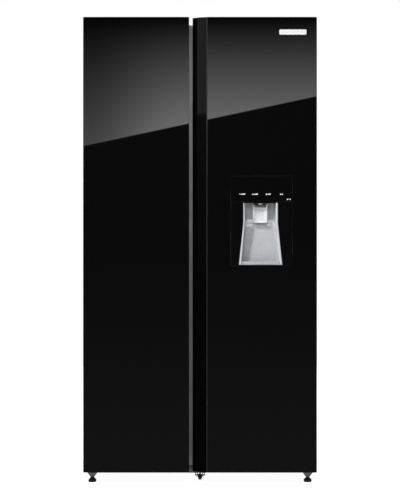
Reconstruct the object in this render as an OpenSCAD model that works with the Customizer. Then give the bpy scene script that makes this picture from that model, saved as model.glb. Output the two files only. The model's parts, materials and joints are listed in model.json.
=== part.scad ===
// Side by side refrigerator: freezer on the left, fresh food on the right, with a
// water dispenser in the right door. Millimetres, +Z up, the front faces -Y, and
// the origin is on the floor under the middle of the whole appliance.

/* [Cabinet] */
// Width of the cabinet, and of the two doors together
cabinet_w = 895; // [850:1:960]
// Depth of the cabinet, from its steel face to its back panel
cabinet_d = 600; // [560:1:680]
// Height of the door tops above the floor
overall_h = 1788; // [1720:1:1860]
// Height of the cabinet's underside above the floor
base_lift = 52; // [50:0.5:60]
// How far the doors stand above the cabinet's top panel
door_overtop = 20; // [16:0.5:24]
// Thickness of the outer steel skin
skin_t = 1; // [0.6:0.1:1.6]
// Thickness of the moulded inner liners
liner_t = 2; // [1.5:0.1:3]
// Insulated side wall, skin to cavity
side_wall = 55; // [45:1:65]
// Insulated wall between the two cavities
mullion_w = 50; // [44:1:60]
// Insulated top wall
top_wall = 52; // [44:1:65]
// Insulated floor under the cavities
floor_wall = 68; // [60:1:80]
// Insulated back wall
back_wall = 58; // [50:1:70]
// Insulation in front of and over the machine compartment
step_wall = 46; // [40:1:55]
// Height of the machine compartment
machine_h = 240; // [230:1:270]
// Depth of the machine compartment
machine_d = 200; // [190:1:230]
// How far the rear machine cover stands out of the back panel
cover_bulge = 12; // [8:1:20]

/* [Doors] */
// Thickness of a door, glass face to inner plane
door_t = 66; // [60:1:76]
// Space that the magnetic gasket fills between door and cabinet
gasket_t = 12; // [10:0.5:14]
// Width of the freezer door
freezer_door_w = 405.5; // [380:0.5:425]
// Gap between the two doors
door_gap = 13.5; // [10:0.5:16]
// Height of the door bottoms above the floor
door_lift = 43; // [42:0.5:46]
// Thickness of the front glass
glass_t = 4; // [3:0.1:5]
// Corner radius of the front glass
glass_r = 5; // [2:0.5:8]
// Width of the curved grip strip beside the fridge door's glass
bevel_w = 53; // [46:0.5:60]
// Radius of the curved grip strip
bevel_r = 124; // [115:1:150]
// Depth of the finger pocket, sideways into the door
pocket_in = 18.5; // [14:0.5:22]
// Distance of the hinge axis from the side of the door
hinge_in = 20; // [18:0.5:24]
// Distance of the hinge axis in front of the door's inner plane
hinge_back = 26; // [22:0.5:30]
// Radius of the hinge pins
pin_r = 6; // [5:0.5:8]
// Length of the hinge pins inside the doors
pin_len = 12; // [10:0.5:16]
// How far the liner's raised dyke stands into the cavity
dyke_h = 36; // [28:1:40]
// Width of the dyke
dyke_w = 14; // [12:1:18]
// Depth of the door bins
bin_d = 86; // [70:1:90]
// Height of the door bins
bin_h = 92; // [70:1:120]

/* [Dispenser] */
// Width of the dispenser panel
disp_w = 235; // [220:1:250]
// Height of the dispenser panel
disp_h = 343; // [320:1:360]
// Height of the dispenser panel's lower edge above the floor
disp_z = 836; // [780:1:900]
// Height of the control panel at the top of the dispenser
panel_h = 100; // [80:1:120]
// Depth of the silver niche
niche_d = 60; // [50:1:66]
// Half width of the niche at its top
niche_top = 66; // [56:1:76]
// Half width of the niche at its bottom
niche_foot = 83; // [70:1:92]
// How much each side wall of the niche leans in towards the back
niche_draft = 12; // [4:1:14]
// How far the niche sits off the panel's middle, away from the hinges
niche_shift = 4; // [0:0.5:8]
// How far the badge stands out of the glass
badge_t = 0.6; // [0.4:0.1:1.5]
// Thickness of the bezel's front plate
bezel_t = 8; // [6:0.5:10]
// Width of the paddle
paddle_w = 55; // [40:1:70]

/* [Storage] */
// Thickness of the glass shelves
shelf_t = 4; // [3:0.5:6]
// Height of the front trim on each shelf
trim_h = 16; // [12:1:22]
// Wall thickness of drawers and bins
bin_wall = 2.5; // [2:0.1:4]
// Free space between the door bins and the shelves
reach_gap = 26; // [20:1:40]

/* [Feet] */
// Radius of a corner foot's pad
foot_r = 15.7; // [12:0.1:20]
// Radius of the rear rollers
roller_r = 22; // [18:1:24]

/* [Hidden] */
$fn = 64;

// clearances
gap = 0.4;       // between stacked pieces of one body
slide_gap = 0.3; // between pieces that move past each other
run_gap = 0.05;  // radial, pin in bore
eps = 1;         // overshoot of a cut

// side to side
xl = -cabinet_w / 2;
xr = cabinet_w / 2;
fridge_door_w = cabinet_w - freezer_door_w - door_gap;
mull_x = xl + freezer_door_w + door_gap / 2;
fz0 = xl + side_wall;
fz1 = mull_x - mullion_w / 2;
fr0 = mull_x + mullion_w / 2;
fr1 = xr - side_wall;

// front to back
y_glass = -(badge_t + door_t + gasket_t + cabinet_d + cover_bulge) / 2 + badge_t;
y_door = y_glass + door_t;
y_face = y_door + gasket_t;
y_back = y_face + cabinet_d;
y_rear = y_back + cover_bulge;
y_liner = y_back - back_wall;
y_bulk = y_back - machine_d;
y_step = y_bulk - step_wall;
y_hinge = y_door - hinge_back;
y_shelf = y_door + bin_d + reach_gap;

// bottom to top
z_top = overall_h - door_overtop;
z_floor = base_lift + floor_wall;
z_ceil = z_top - top_wall;
z_mach = base_lift + machine_h;
z_step = z_mach + step_wall;

// sheet metal
base_t = 2;
plate_t = 3;

// dyke of the door liners, as distances from the hinge side
dyke_side = 8;   // to the cavity wall on the hinge side
dyke_free = 14;  // to the cavity wall on the free side
dyke_end = 10;   // to the cavity floor and ceiling
dyke_u0 = side_wall + dyke_side;
dyke_z0 = z_floor + dyke_end;
dyke_z1 = z_ceil - dyke_end;
function dyke_u1(fridge) = (fridge ? xr - fr0 : fz1 - xl) - dyke_free;
function door_w(fridge) = fridge ? fridge_door_w : freezer_door_w;
bin_side = 2;    // bin to dyke
door_wall = 3;   // extruded profiles
cap_h = door_overtop + pin_len + 3;  // moulded caps that close a door's ends
trim_w = 12;     // hinge side trim

// dispenser
disp_u = (fridge_door_w - bevel_w) / 2;
niche_u = disp_u + niche_shift;
niche_z1 = disp_z + disp_h - panel_h;
niche_z0 = disp_z + 3;
niche_wall = 2;
bulge_t = 32;
bulge_z1 = niche_z1 + 32;
panel_gap = 0.8;
tank_z = bulge_z1 + 2;
tank_h = 110;

// storage heights
drawer_lo_z = z_floor + 10;
drawer_lo_h = z_step - z_floor - 20;
drawer_up_z = z_step + 22;
drawer_up_h = 176;
cover_z = drawer_up_z + drawer_up_h + 12;
shelf_n = 4;
shelf_step = (z_ceil - cover_z - 60) / shelf_n;
shelf_zs = [for (i = [0:shelf_n - 1]) cover_z + i * shelf_step];
duct_d = 70;
fridge_duct_d = 24;
duct_t = 2.5;
duct_z1 = z_ceil - 60;
ledge = 8;

// fans
fan_r = 50;
fan_x = (fz0 + fz1) / 2;
fan_y = y_liner - 38;
fan_z = cover_z + 1.5 * shelf_step;
cfan_r = 62;
cfan_x = -70;
cfan_y = y_bulk + machine_d / 2;
cfan_z = base_lift + 100;

// feet
foot_u = 31.5;
foot_y = y_hinge + 10;
stem_r = 5;
foot_drop = 20;    // height of a corner foot below its bracket
centre_y = y_face + 28;
roller_y = y_back - 60;
roller_u = 88;
roller_w = 18;
axle_r = 4;

// ---------- helpers ----------

// A box between two corners
module span(a, b) {
    translate(a) cube(b - a);
}

// A (y, z) outline drawn out along X
module along_x(x0, x1) {
    translate([x0, 0, 0]) rotate([90, 0, 90]) linear_extrude(x1 - x0) children();
}

// An (x, z) outline drawn out along Y
module along_y(y0, y1) {
    translate([0, y1, 0]) rotate([90, 0, 0]) linear_extrude(y1 - y0) children();
}

// An (x, y) outline drawn out along Z
module along_z(z0, z1) {
    translate([0, 0, z0]) linear_extrude(z1 - z0) children();
}

// A rectangle with round corners, between two corner points
module round_rect(a, b, r) {
    translate([a[0] + r, a[1]]) square([b[0] - a[0] - 2 * r, b[1] - a[1]]);
    translate([a[0], a[1] + r]) square([b[0] - a[0], b[1] - a[1] - 2 * r]);
    for (x = [a[0] + r, b[0] - r], y = [a[1] + r, b[1] - r]) translate([x, y]) circle(r = r);
}

// Puts a door-local shape (x is the distance from the hinge side) on its door
module on_door(fridge) {
    if (fridge) translate([xr, 0, 0]) mirror([1, 0, 0]) children();
    else translate([xl, 0, 0]) children();
}

// One copy for each side of the cabinet, x being the distance from that side
module both_sides() {
    on_door(false) children();
    on_door(true) children();
}

// The cavities' side profile, grown by e: floor, step over the machine compartment, ceiling
module cavity_profile(e, front) {
    polygon([[front, z_floor - e], [y_step + e, z_floor - e], [y_step + e, z_step - e],
             [y_liner + e, z_step - e], [y_liner + e, z_ceil + e], [front, z_ceil + e]]);
}

// An open-topped box with round upright corners
module tub(x0, y0, z0, x1, y1, z1, wall, r) {
    difference() {
        along_z(z0, z1) round_rect([x0, y0], [x1, y1], r);
        along_z(z0 + wall, z1 + eps) round_rect([x0 + wall, y0 + wall], [x1 - wall, y1 - wall], r - wall);
    }
}

// A tube that snakes back and forth in the XZ plane, n runs of length len
module serpentine(n, pitch, len, r) {
    for (i = [0:n - 1]) translate([0, 0, i * pitch]) rotate([0, 90, 0]) cylinder(r = r, h = len);
    for (i = [0:n - 2]) translate([i % 2 ? 0 : len, 0, (i + 0.5) * pitch])
        rotate([90, i % 2 ? 180 : 0, 0]) rotate([0, 0, -90])
            rotate_extrude(angle = 180) translate([pitch / 2, 0]) circle(r = r);
}

// ---------- cabinet ----------

module side_panels() {
    color("#54565a") both_sides() span([0, y_face + skin_t, base_lift], [skin_t, y_back, z_top]);
}

module top_panel() {
    color("#54565a")
        span([xl + skin_t, y_face + skin_t, z_top - skin_t], [xr - skin_t, y_back - skin_t, z_top]);
}

gland_x = xr - 120;
gland_z = z_mach + 60;
gland_r = 9;

module back_panel() {
    color("#9a9c9e") difference() {
        span([xl + skin_t, y_back - skin_t, z_mach], [xr - skin_t, y_back, z_top]);
        translate([gland_x, y_back + eps, gland_z]) rotate([90, 0, 0])
            cylinder(r = gland_r + 0.1, h = skin_t + 2 * eps);
    }
}

// Pan under the cabinet, with the rear rollers' forks and axles
module base_frame() {
    fork_t = 2;
    color("#4a4c4f") {
        span([xl + skin_t, y_face + skin_t, base_lift], [xr - skin_t, y_back - skin_t, base_lift + base_t]);
        both_sides() {
            for (s = [-1, 1]) translate([roller_u + s * (roller_w / 2 + 1.5 + fork_t / 2), roller_y, 0])
                span([-fork_t / 2, -20, roller_r - 10], [fork_t / 2, 20, base_lift]);
            translate([roller_u - roller_w / 2 - 5, roller_y, roller_r]) rotate([0, 90, 0])
                cylinder(r = axle_r, h = roller_w + 10);
        }
    }
}

// Bent sheet in front of and over the machine compartment
module machine_bulkhead() {
    z0 = base_lift + base_t;
    color("#b4b6b8") along_x(xl + skin_t + gap, xr - skin_t - gap)
        polygon([[y_bulk, z0], [y_bulk + base_t, z0], [y_bulk + base_t, z_mach - base_t],
                 [y_back - skin_t - gap, z_mach - base_t], [y_back - skin_t - gap, z_mach],
                 [y_bulk, z_mach]]);
}

// Steel face that the gaskets close on, with the bar between the doors
module front_frame() {
    color("#a4a6a8") along_y(y_face, y_face + skin_t) difference() {
        translate([xl, base_lift]) square([cabinet_w, z_top - base_lift]);
        for (x = [[fz0, fz1], [fr0, fr1]])
            translate([x[0], z_floor]) square([x[1] - x[0], z_ceil - z_floor]);
    }
}

// Foam between skins and liners, as one block for each wall
module insulation() {
    y0 = y_face + skin_t + gap;
    y1 = y_back - skin_t - gap;
    z0 = base_lift + base_t + gap;
    z1 = z_top - skin_t - gap;
    e = liner_t + gap;
    color("#e8dfb8") {
        for (w = [[xl + skin_t + gap, fz0 - e], [fz1 + e, fr0 - e], [fr1 + e, xr - skin_t - gap]]) {
            span([w[0], y0, z_mach + gap], [w[1], y1, z1]);
            span([w[0], y0, z0], [w[1], y_bulk - gap, z_mach]);
        }
        for (c = [[fz0 - liner_t, fz1 + liner_t], [fr0 - liner_t, fr1 + liner_t]]) {
            span([c[0], y0, z_ceil + e], [c[1], y1, z1]);
            span([c[0], y_liner + e, z_step - liner_t], [c[1], y1, z_ceil + liner_t]);
            span([c[0], y_step + e, z_mach + gap], [c[1], y1, z_step - e]);
            span([c[0], y_step + e, z0], [c[1], y_bulk - gap, z_mach]);
            span([c[0], y0, z0], [c[1], y_step + liner_t, z_floor - e]);
        }
    }
}

// One cavity's liner: a tub open to the front, with ledges for its shelves and drawers
module cavity_liner(x0, x1, shelf_back) {
    front = y_face + skin_t;
    difference() {
        along_x(x0 - liner_t, x1 + liner_t) cavity_profile(liner_t, front);
        along_x(x0, x1) cavity_profile(0, front - eps);
    }
    for (x = [x0, x1 - ledge]) {
        for (z = shelf_zs) span([x, y_shelf + 4, z - 7], [x + ledge, shelf_back, z]);
        span([x, y_shelf + 4, drawer_lo_z - 6], [x + ledge, y_step, drawer_lo_z - slide_gap]);
        span([x, y_shelf + 4, drawer_up_z - 6], [x + ledge, shelf_back, drawer_up_z - slide_gap]);
    }
}

module freezer_liner() {
    color("#eceeef") cavity_liner(fz0, fz1, y_liner - duct_d - 4);
}

module fridge_liner() {
    color("#eceeef") cavity_liner(fr0, fr1, y_liner - fridge_duct_d - 4);
}

// Both cavities' shelves: [left, right, back]
shelf_spans = [[fz0, fz1, y_liner - duct_d - 6], [fr0, fr1, y_liner - fridge_duct_d - 6]];
trim_d = 18;
trim_grip = 9;

module glass_shelves() {
    color("#cfe6e2") for (s = shelf_spans, z = shelf_zs)
        span([s[0] + 1.5, y_shelf + trim_d - trim_grip, z], [s[1] - 1.5, s[2], z + shelf_t]);
}

// Front rails with a slot that the glass is pushed into
module shelf_trims() {
    slot = 0.15;
    color("#f3f4f5") for (s = shelf_spans, z = shelf_zs) difference() {
        along_x(s[0] + ledge + 1, s[1] - ledge - 1)
            round_rect([y_shelf, z + shelf_t + 3 - trim_h], [y_shelf + trim_d, z + shelf_t + 3], 2.5);
        span([s[0], y_shelf + trim_d - trim_grip - slot, z - slot],
             [s[1], y_shelf + trim_d + eps, z + shelf_t + slot]);
    }
}

// Rows of upright air slots, n across
module air_slots(x0, x1, z, n, len, y0, y1) {
    pitch = (x1 - x0) / n;
    for (i = [0:n - 1]) translate([x0 + (i + 0.5) * pitch, 0, 0]) span([-3, y0, z], [3, y1, z + len]);
}

// Shell over the evaporator, with a ring of openings at the fan and slots at each shelf
module freezer_duct_cover() {
    y0 = y_liner - duct_d;
    x0 = fz0 + 4;
    x1 = fz1 - 4;
    color("#f1f2f3") difference() {
        span([x0, y0, z_step + 2], [x1, y_liner - gap, duct_z1]);
        span([x0 + duct_t, y0 + duct_t, z_step - eps], [x1 - duct_t, y_liner, duct_z1 - duct_t]);
        for (i = [1:shelf_n - 1])
            air_slots(x0 + 50, x1 - 50, shelf_zs[i] + 70, 12, 36, y0 - eps, y0 + duct_t + eps);
        air_slots(x0 + 40, x1 - 40, z_step + 40, 14, 50, y0 - eps, y0 + duct_t + eps);
    }
}

// Slim air tower up the back of the fresh food side
module fridge_duct_cover() {
    y0 = y_liner - fridge_duct_d;
    mid = (fr0 + fr1) / 2;
    half = 90;
    color("#f1f2f3") difference() {
        span([mid - half, y0, cover_z + 30], [mid + half, y_liner - gap, duct_z1]);
        span([mid - half + duct_t, y0 + duct_t, cover_z + 30 + duct_t],
             [mid + half - duct_t, y_liner, duct_z1 - duct_t]);
        for (z = shelf_zs) air_slots(mid - 60, mid + 60, z + 110, 6, 34, y0 - eps, y0 + duct_t + eps);
    }
}

// Finned coil behind the freezer's duct cover
module evaporator() {
    runs = 6;
    pitch = 30;
    len = fz1 - fz0 - 90;
    z0 = z_step + 70;
    z1 = z0 + (runs - 1) * pitch;
    fins = 12;
    color("#b9bdc1") translate([fz0 + 45, 0, 0]) {
        for (y = [y_liner - 22, y_liner - 48]) translate([0, y, z0]) serpentine(runs, pitch, len, 4);
        for (i = [0:fins - 1]) translate([12 + i * (len - 24) / (fins - 1), 0, 0])
            span([-0.5, y_liner - 60, z0 - 12], [0.5, y_liner - 10, z1 + 12]);
        span([len / 2 - 4, y_liner - 48, z1 - 3], [len / 2 + 4, y_liner - 22, z1 + 3]);
    }
}

// Lenses of the ceiling lights
module lamp_covers() {
    color("#fbfbf4") for (c = [[fz0, fz1], [fr0, fr1]]) {
        mid = (c[0] + c[1]) / 2;
        along_z(z_ceil - 10, z_ceil - gap)
            round_rect([mid - 70, y_shelf + 10], [mid + 70, y_shelf + 60], 12);
    }
}

// ---------- machine compartment ----------

compressor_x = xl + 190;
compressor_z = base_lift + base_t;

// Welded steel shell on a base plate with rubber feet, and its terminal box
module compressor() {
    r = 72;
    mid = y_bulk + machine_d / 2 + 4;
    foot_h = 14;
    z0 = compressor_z + foot_h + plate_t;
    color("#2b2c2e") translate([compressor_x, mid, 0]) {
        translate([0, 0, z0]) rotate_extrude() {
            square([r - 14, 144]);
            translate([0, 14]) square([r, 104]);
            translate([r - 14, 14]) circle(r = 14);
            translate([0, 118]) intersection() {
                circle(r = r);
                square([r, 34]);
            }
        }
        span([-88, -58, z0 - plate_t], [88, 58, z0]);
        for (x = [-76, 76], y = [-46, 46]) translate([x, y, compressor_z]) cylinder(r = 10, h = foot_h);
        span([r - 6, -24, z0 + 40], [r + 22, 24, z0 + 96]);
        for (y = [-30, 30]) translate([-r + 10, y, z0 + 70]) rotate([0, -90, 0]) cylinder(r = 4, h = 34);
    }
}

// Tray on the compressor that catches and boils off the defrost water
module evaporation_pan() {
    z0 = compressor_z + 14 + plate_t + 152 + gap;
    mid = y_bulk + machine_d / 2 + 4;
    color("#1f2022") translate([compressor_x, mid, 0]) tub(-88, -70, z0, 88, 70, z0 + 34, 2, 10);
}

// Tube coil between two end plates
module condenser() {
    runs = 6;
    pitch = 30;
    len = 250;
    x0 = 60;
    z0 = base_lift + 30;
    z1 = z0 + (runs - 1) * pitch + 10;
    color("#3a3b3d") {
        for (i = [0:2]) translate([x0, y_bulk + 40 + i * 50, z0]) serpentine(runs, pitch, len, 3);
        for (x = [x0 + 30, x0 + len / 2, x0 + len - 30])
            span([x - 1, y_bulk + 28, base_lift + base_t], [x + 1, y_bulk + 152, z1]);
    }
}

// Motors of the two fans, each on its bracket
module fan_motors() {
    shroud = cfan_r + 14;
    color("#6a6d70") {
        translate([fan_x, fan_y + 14, fan_z]) rotate([-90, 0, 0]) cylinder(r = 20, h = 22);
        span([fan_x - 70, y_liner - 4, fan_z - 8], [fan_x + 70, y_liner, fan_z + 8]);
        difference() {
            span([cfan_x - 2, cfan_y - shroud, base_lift + base_t],
                 [cfan_x + 2, cfan_y + shroud, cfan_z + shroud]);
            translate([cfan_x - 3, cfan_y, cfan_z]) rotate([0, 90, 0]) cylinder(r = cfan_r + 4, h = 6);
        }
        translate([cfan_x - 46, cfan_y, cfan_z]) rotate([0, 90, 0]) cylinder(r = 22, h = 24);
        span([cfan_x - 44, cfan_y - 4, base_lift + base_t], [cfan_x - 30, cfan_y + 4, cfan_z - 18]);
    }
}

// Pressed rear cover with louvre slots
module machine_cover() {
    t = 1.5;
    x0 = xl + skin_t + gap;
    z0 = base_lift + base_t + gap;
    z1 = z_mach - gap;
    rim = 18;
    color("#8d8f91") difference() {
        union() {
            span([x0, y_back - skin_t, z0], [-x0, y_back, z1]);
            span([x0 + rim, y_back - skin_t, z0 + rim], [-x0 - rim, y_rear, z1 - rim]);
        }
        span([x0 + rim + t, y_back - skin_t - eps, z0 + rim + t], [-x0 - rim - t, y_rear - t, z1 - rim - t]);
        for (c = [-260, 0, 260], i = [0:8])
            translate([c, 0, z0 + 46 + i * 17]) span([-80, y_rear - t - eps, 0], [80, y_rear + eps, 6]);
    }
}

module cord_gland() {
    color("#202124") translate([gland_x, y_back, gland_z]) rotate([90, 0, 0]) difference() {
        union() {
            translate([0, 0, -6]) cylinder(r = gland_r + 5, h = 6);
            cylinder(r = gland_r, h = skin_t - 0.2);
        }
        translate([0, 0, -7]) cylinder(r = 4.5, h = 20);
    }
}

// ---------- hinges, brackets and feet ----------

hinge_plate_t = 4;
hinge_arm = 14;

// Steel plates on the cabinet's top, each with an arm that carries a pin
module top_hinges() {
    color("#3c3e41") both_sides() difference() {
        union() {
            along_z(z_top, z_top + hinge_plate_t) {
                translate([hinge_in, y_hinge]) circle(r = hinge_arm);
                translate([hinge_in - hinge_arm, y_hinge]) square([2 * hinge_arm, y_face + 8 - y_hinge]);
                translate([hinge_in - hinge_arm, y_face + 6]) square([66, 66]);
            }
            translate([hinge_in, y_hinge, z_top - pin_len]) cylinder(r = pin_r, h = pin_len);
        }
        hinge_screws() cylinder(r = 2.8, h = 3 * hinge_plate_t, center = true);
    }
}

// Places of the screws in a top hinge
module hinge_screws() {
    for (p = [[8, 22], [40, 22], [8, 56], [40, 56]])
        translate([hinge_in - hinge_arm + p[0] + 4, y_face + p[1], z_top + hinge_plate_t]) children();
}

module hinge_covers() {
    t = 2;
    x0 = hinge_in - hinge_arm - 3;
    h = door_overtop - 3;
    color("#1c1d1f") both_sides() difference() {
        along_z(z_top, z_top + h) round_rect([x0, y_face + 2], [x0 + 74, y_face + 80], 8);
        along_z(z_top - eps, z_top + h - t)
            round_rect([x0 + t, y_face - 18], [x0 + 74 - t, y_face + 80 - t], 6);
    }
}

bracket_t = 3;
bracket_z = door_lift - 0.5 - bracket_t;
bracket_x0 = 5;
bracket_x1 = 57;

// Steel brackets under the doors: hinge pin above, foot below
module bottom_brackets() {
    cone_h = bracket_z - foot_drop - 1;
    color("#4b4d50") both_sides() difference() {
        union() {
            span([bracket_x0, y_hinge - 16, bracket_z], [bracket_x1, y_face + 70, bracket_z + bracket_t]);
            for (x = [bracket_x0, bracket_x1 - bracket_t])
                span([x, y_face + 10, bracket_z + bracket_t], [x + bracket_t, y_face + 70, base_lift]);
            translate([hinge_in, y_hinge, bracket_z])
                cylinder(r = pin_r, h = door_lift - bracket_z + pin_len);
            translate([foot_u, foot_y, foot_drop + 1]) cylinder(r1 = 9, r2 = 22, h = cone_h);
        }
        translate([foot_u, foot_y, foot_drop - eps])
            cylinder(r = stem_r + run_gap, h = bracket_z - foot_drop + eps);
    }
}

centre_plate_z = 33;

// Strap bracket under the middle of the cabinet, with two eyes in its front
module centre_bracket() {
    half = 24;
    leg = 3;
    strap_t = 2;
    eye_x = 14;
    eye_r = 2.6;
    z0 = centre_plate_z;
    y0 = centre_y - 15;
    color("#4b4d50") difference() {
        union() {
            span([-half, y0, z0], [half, centre_y + 20, z0 + leg]);
            for (x = [-half, half - leg]) span([x, centre_y - 2, z0], [x + leg, centre_y + 20, base_lift]);
            span([-half, y0, z0], [half, y0 + strap_t, z0 + 9]);
            for (s = [-1, 1]) span([s * eye_x - 5.5, y0, z0 - 16], [s * eye_x + 5.5, y0 + strap_t, z0]);
        }
        translate([0, centre_y, 0]) cylinder(r = 4 + run_gap, h = base_lift - 8);
        for (s = [-1, 1]) translate([s * eye_x, y0 - eps, z0 - 8]) rotate([-90, 0, 0])
            cylinder(r = eye_r, h = strap_t + 2 * eps);
    }
}

// A levelling foot: a round pad, a waist and a stem, its top at stem_top
module levelling_foot(pad_r, waist_r, h, stem, stem_top) {
    color("#1d1e20") {
        rotate_extrude() polygon([[0, 0], [pad_r - 4, 0], [pad_r - 1, 2], [pad_r, 5], [pad_r, 9],
                                  [pad_r - 2, 12], [waist_r, h - 3], [waist_r, h], [0, h]]);
        cylinder(r = stem, h = stem_top);
    }
}

module foot_left() {
    translate([xl + foot_u, foot_y, 0]) levelling_foot(foot_r, 8, foot_drop, stem_r, bracket_z - 2);
}

module foot_right() {
    translate([xr - foot_u, foot_y, 0]) levelling_foot(foot_r, 8, foot_drop, stem_r, bracket_z - 2);
}

module foot_centre() {
    color("#1d1e20") translate([0, centre_y, 0]) {
        cylinder(r1 = 6, r2 = 7.4, h = 7);
        translate([0, 0, 7]) cylinder(r1 = 8, r2 = 11.5, h = 4);
        translate([0, 0, 11]) cylinder(r = 11.5, h = 9);
        cylinder(r = 4, h = base_lift - 12);
    }
}

// A rear roller with its bore
module roller() {
    x0 = roller_u - roller_w / 2;
    color("#2a2b2d") translate([x0, roller_y, roller_r]) rotate([0, 90, 0]) difference() {
        cylinder(r = roller_r, h = roller_w);
        translate([0, 0, -eps]) cylinder(r = axle_r + run_gap, h = roller_w + 2 * eps);
        for (z = [-eps, roller_w - 3]) translate([0, 0, z]) difference() {
            cylinder(r = roller_r - 5, h = 3 + eps);
            cylinder(r = axle_r + 4, h = 3 + eps);
        }
    }
}

module roller_left() {
    on_door(false) roller();
}

module roller_right() {
    on_door(true) roller();
}

// Screws of the top hinges, and of the machine cover's rim
module fasteners() {
    color("#8b8d90") {
        both_sides() hinge_screws() {
            cylinder(r = 5, h = 3);
            translate([0, 0, -hinge_plate_t]) cylinder(r = 2.7, h = hinge_plate_t);
        }
        for (x = [xl + 30, 0, xr - 30], z = [base_lift + 12, z_mach - 10])
            translate([x, y_back, z]) rotate([-90, 0, 0]) cylinder(r = 4.5, h = 2.5);
    }
}

// ---------- doors ----------

y_lens = y_glass + glass_t;

// Centre and ends of the curved grip strip, from the hinge side
bevel_u0 = fridge_door_w - bevel_w;
bevel_a0 = 13;
bevel_step = 2.5;
bevel_cu = bevel_u0 - bevel_r * sin(bevel_a0);
bevel_cy = y_glass + bevel_step + bevel_r * cos(bevel_a0);

module freezer_door_glass() {
    color("#060607") on_door(false) along_y(y_glass, y_lens)
        round_rect([0, door_lift], [freezer_door_w, overall_h], glass_r);
}

// The fridge door's glass stops at the grip strip with a ground edge, and has the dispenser's opening
module fridge_door_glass() {
    w = bevel_u0 - 0.6;
    grind = 3;
    color("#060607") on_door(true) difference() {
        along_y(y_glass, y_lens) {
            translate([0, door_lift]) round_rect([0, 0], [w, overall_h - door_lift], glass_r);
            translate([w / 2, door_lift]) square([w / 2, overall_h - door_lift]);
        }
        along_z(door_lift - eps, overall_h + eps)
            polygon([[w - grind, y_glass], [w - grind, y_glass - eps], [w + eps, y_glass - eps],
                     [w + eps, y_glass + grind + eps], [w, y_glass + grind]]);
        span([disp_u - disp_w / 2 - panel_gap, y_glass - eps, disp_z - panel_gap],
             [disp_u + disp_w / 2 + panel_gap, y_lens + eps, disp_z + disp_h + panel_gap]);
    }
}

// Where a door's grip profile begins, from the hinge side
function grip_u0(fridge) = fridge ? bevel_u0 - 12 : freezer_door_w - 34;
function pocket_u(fridge) = door_w(fridge) - pocket_in;
pocket_y1 = y_door - 9;

// Hinge side trim and the two end caps, with the hinges' bores and the notch for the hinge arm
module door_frame(fridge) {
    u1 = grip_u0(fridge) - gap;
    notch = hinge_in + 28;
    bore = pin_r + run_gap;
    color("#111214") on_door(fridge) {
        span([0, y_lens, door_lift + cap_h], [trim_w, y_door, overall_h - cap_h]);
        difference() {
            span([0, y_lens, overall_h - cap_h], [u1, y_door, overall_h]);
            span([-eps, y_lens + 1, z_top - 1], [notch, y_door + eps, overall_h + eps]);
            translate([hinge_in, y_hinge, z_top - pin_len - 1]) cylinder(r = bore, h = cap_h);
        }
        difference() {
            span([0, y_lens, door_lift], [u1, y_door, door_lift + cap_h]);
            translate([hinge_in, y_hinge, door_lift - eps]) cylinder(r = bore, h = pin_len + 1 + eps);
        }
    }
}

module freezer_door_frame() {
    door_frame(false);
}

module fridge_door_frame() {
    door_frame(true);
}

// Extruded edge with a finger pocket behind the glass
module freezer_grip_profile() {
    u0 = grip_u0(false);
    up = pocket_u(false);
    color("#17181a") on_door(false) along_z(door_lift, overall_h) difference() {
        translate([u0, y_lens]) square([freezer_door_w - u0, door_t - glass_t]);
        translate([up, y_glass + 14]) square([pocket_in + eps, pocket_y1 - y_glass - 14]);
        translate([u0 - eps, y_lens + door_wall]) square([up - door_wall - u0 + eps, door_t]);
    }
}

// Extruded edge whose front is the curved strip, with a finger pocket behind it
module fridge_grip_profile() {
    u0 = grip_u0(true);
    up = pocket_u(true);
    color("#0e0e10") on_door(true) along_z(door_lift, overall_h) difference() {
        intersection() {
            translate([bevel_cu, bevel_cy]) circle(r = bevel_r, $fn = 180);
            translate([u0, y_glass]) square([fridge_door_w - u0, door_t]);
        }
        translate([u0 - eps, y_glass - eps]) square([bevel_u0 - 0.2 - u0 + eps, glass_t + eps + 0.05]);
        translate([up, y_glass + 33]) square([pocket_in + eps, pocket_y1 - y_glass - 33]);
        intersection() {
            translate([bevel_cu, bevel_cy]) circle(r = bevel_r - door_wall, $fn = 180);
            translate([u0 - eps, y_lens + door_wall]) square([up - door_wall - u0 + eps, door_t]);
        }
    }
}

core_y0 = y_lens + door_wall + gap;
core_y1 = y_door - liner_t - gap;

// The dyke's ring, grown by e on every side that faces the cavity
module dyke_ring(fridge, e, y0) {
    u0 = dyke_u0 + liner_t;
    u1 = dyke_u1(fridge) - liner_t;
    w = dyke_w - 2 * liner_t;
    difference() {
        span([u0 - e, y0, dyke_z0 + liner_t - e],
             [u1 + e, y_door + dyke_h - liner_t + e, dyke_z1 - liner_t + e]);
        span([u0 + w + e, y0 - eps, dyke_z0 + liner_t + w + e],
             [u1 - w - e, y_door + dyke_h + eps, dyke_z1 - liner_t - w - e]);
    }
}

// Raised block behind the dispenser's niche, grown by e
module niche_bulge(e, y0) {
    span([niche_u - 108 - e, y0, disp_z - 16 - e],
         [niche_u + 108 + e, y_door + bulge_t - liner_t + e, bulge_z1 - liner_t + e]);
}

// Foam of a door, filling its dyke and, on the fridge door, the block round the niche
module door_core(fridge, e) {
    u1 = pocket_u(fridge) - door_wall - gap;
    z0 = door_lift + cap_h + gap;
    z1 = overall_h - cap_h - gap;
    along_z(z0, z1) if (fridge) intersection() {
        translate([trim_w + gap, core_y0]) square([u1 - trim_w - gap, core_y1 - core_y0 + e]);
        union() {
            translate([bevel_cu, bevel_cy]) circle(r = bevel_r - door_wall - gap, $fn = 180);
            translate([0, y_glass]) square([bevel_cu, door_t]);
        }
    } else translate([trim_w + gap, core_y0]) square([u1 - trim_w - gap, core_y1 - core_y0 + e]);
}

module freezer_door_core() {
    color("#e8dfb8") on_door(false) {
        door_core(false, 0);
        dyke_ring(false, -gap, core_y1 - eps);
    }
}

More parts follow.
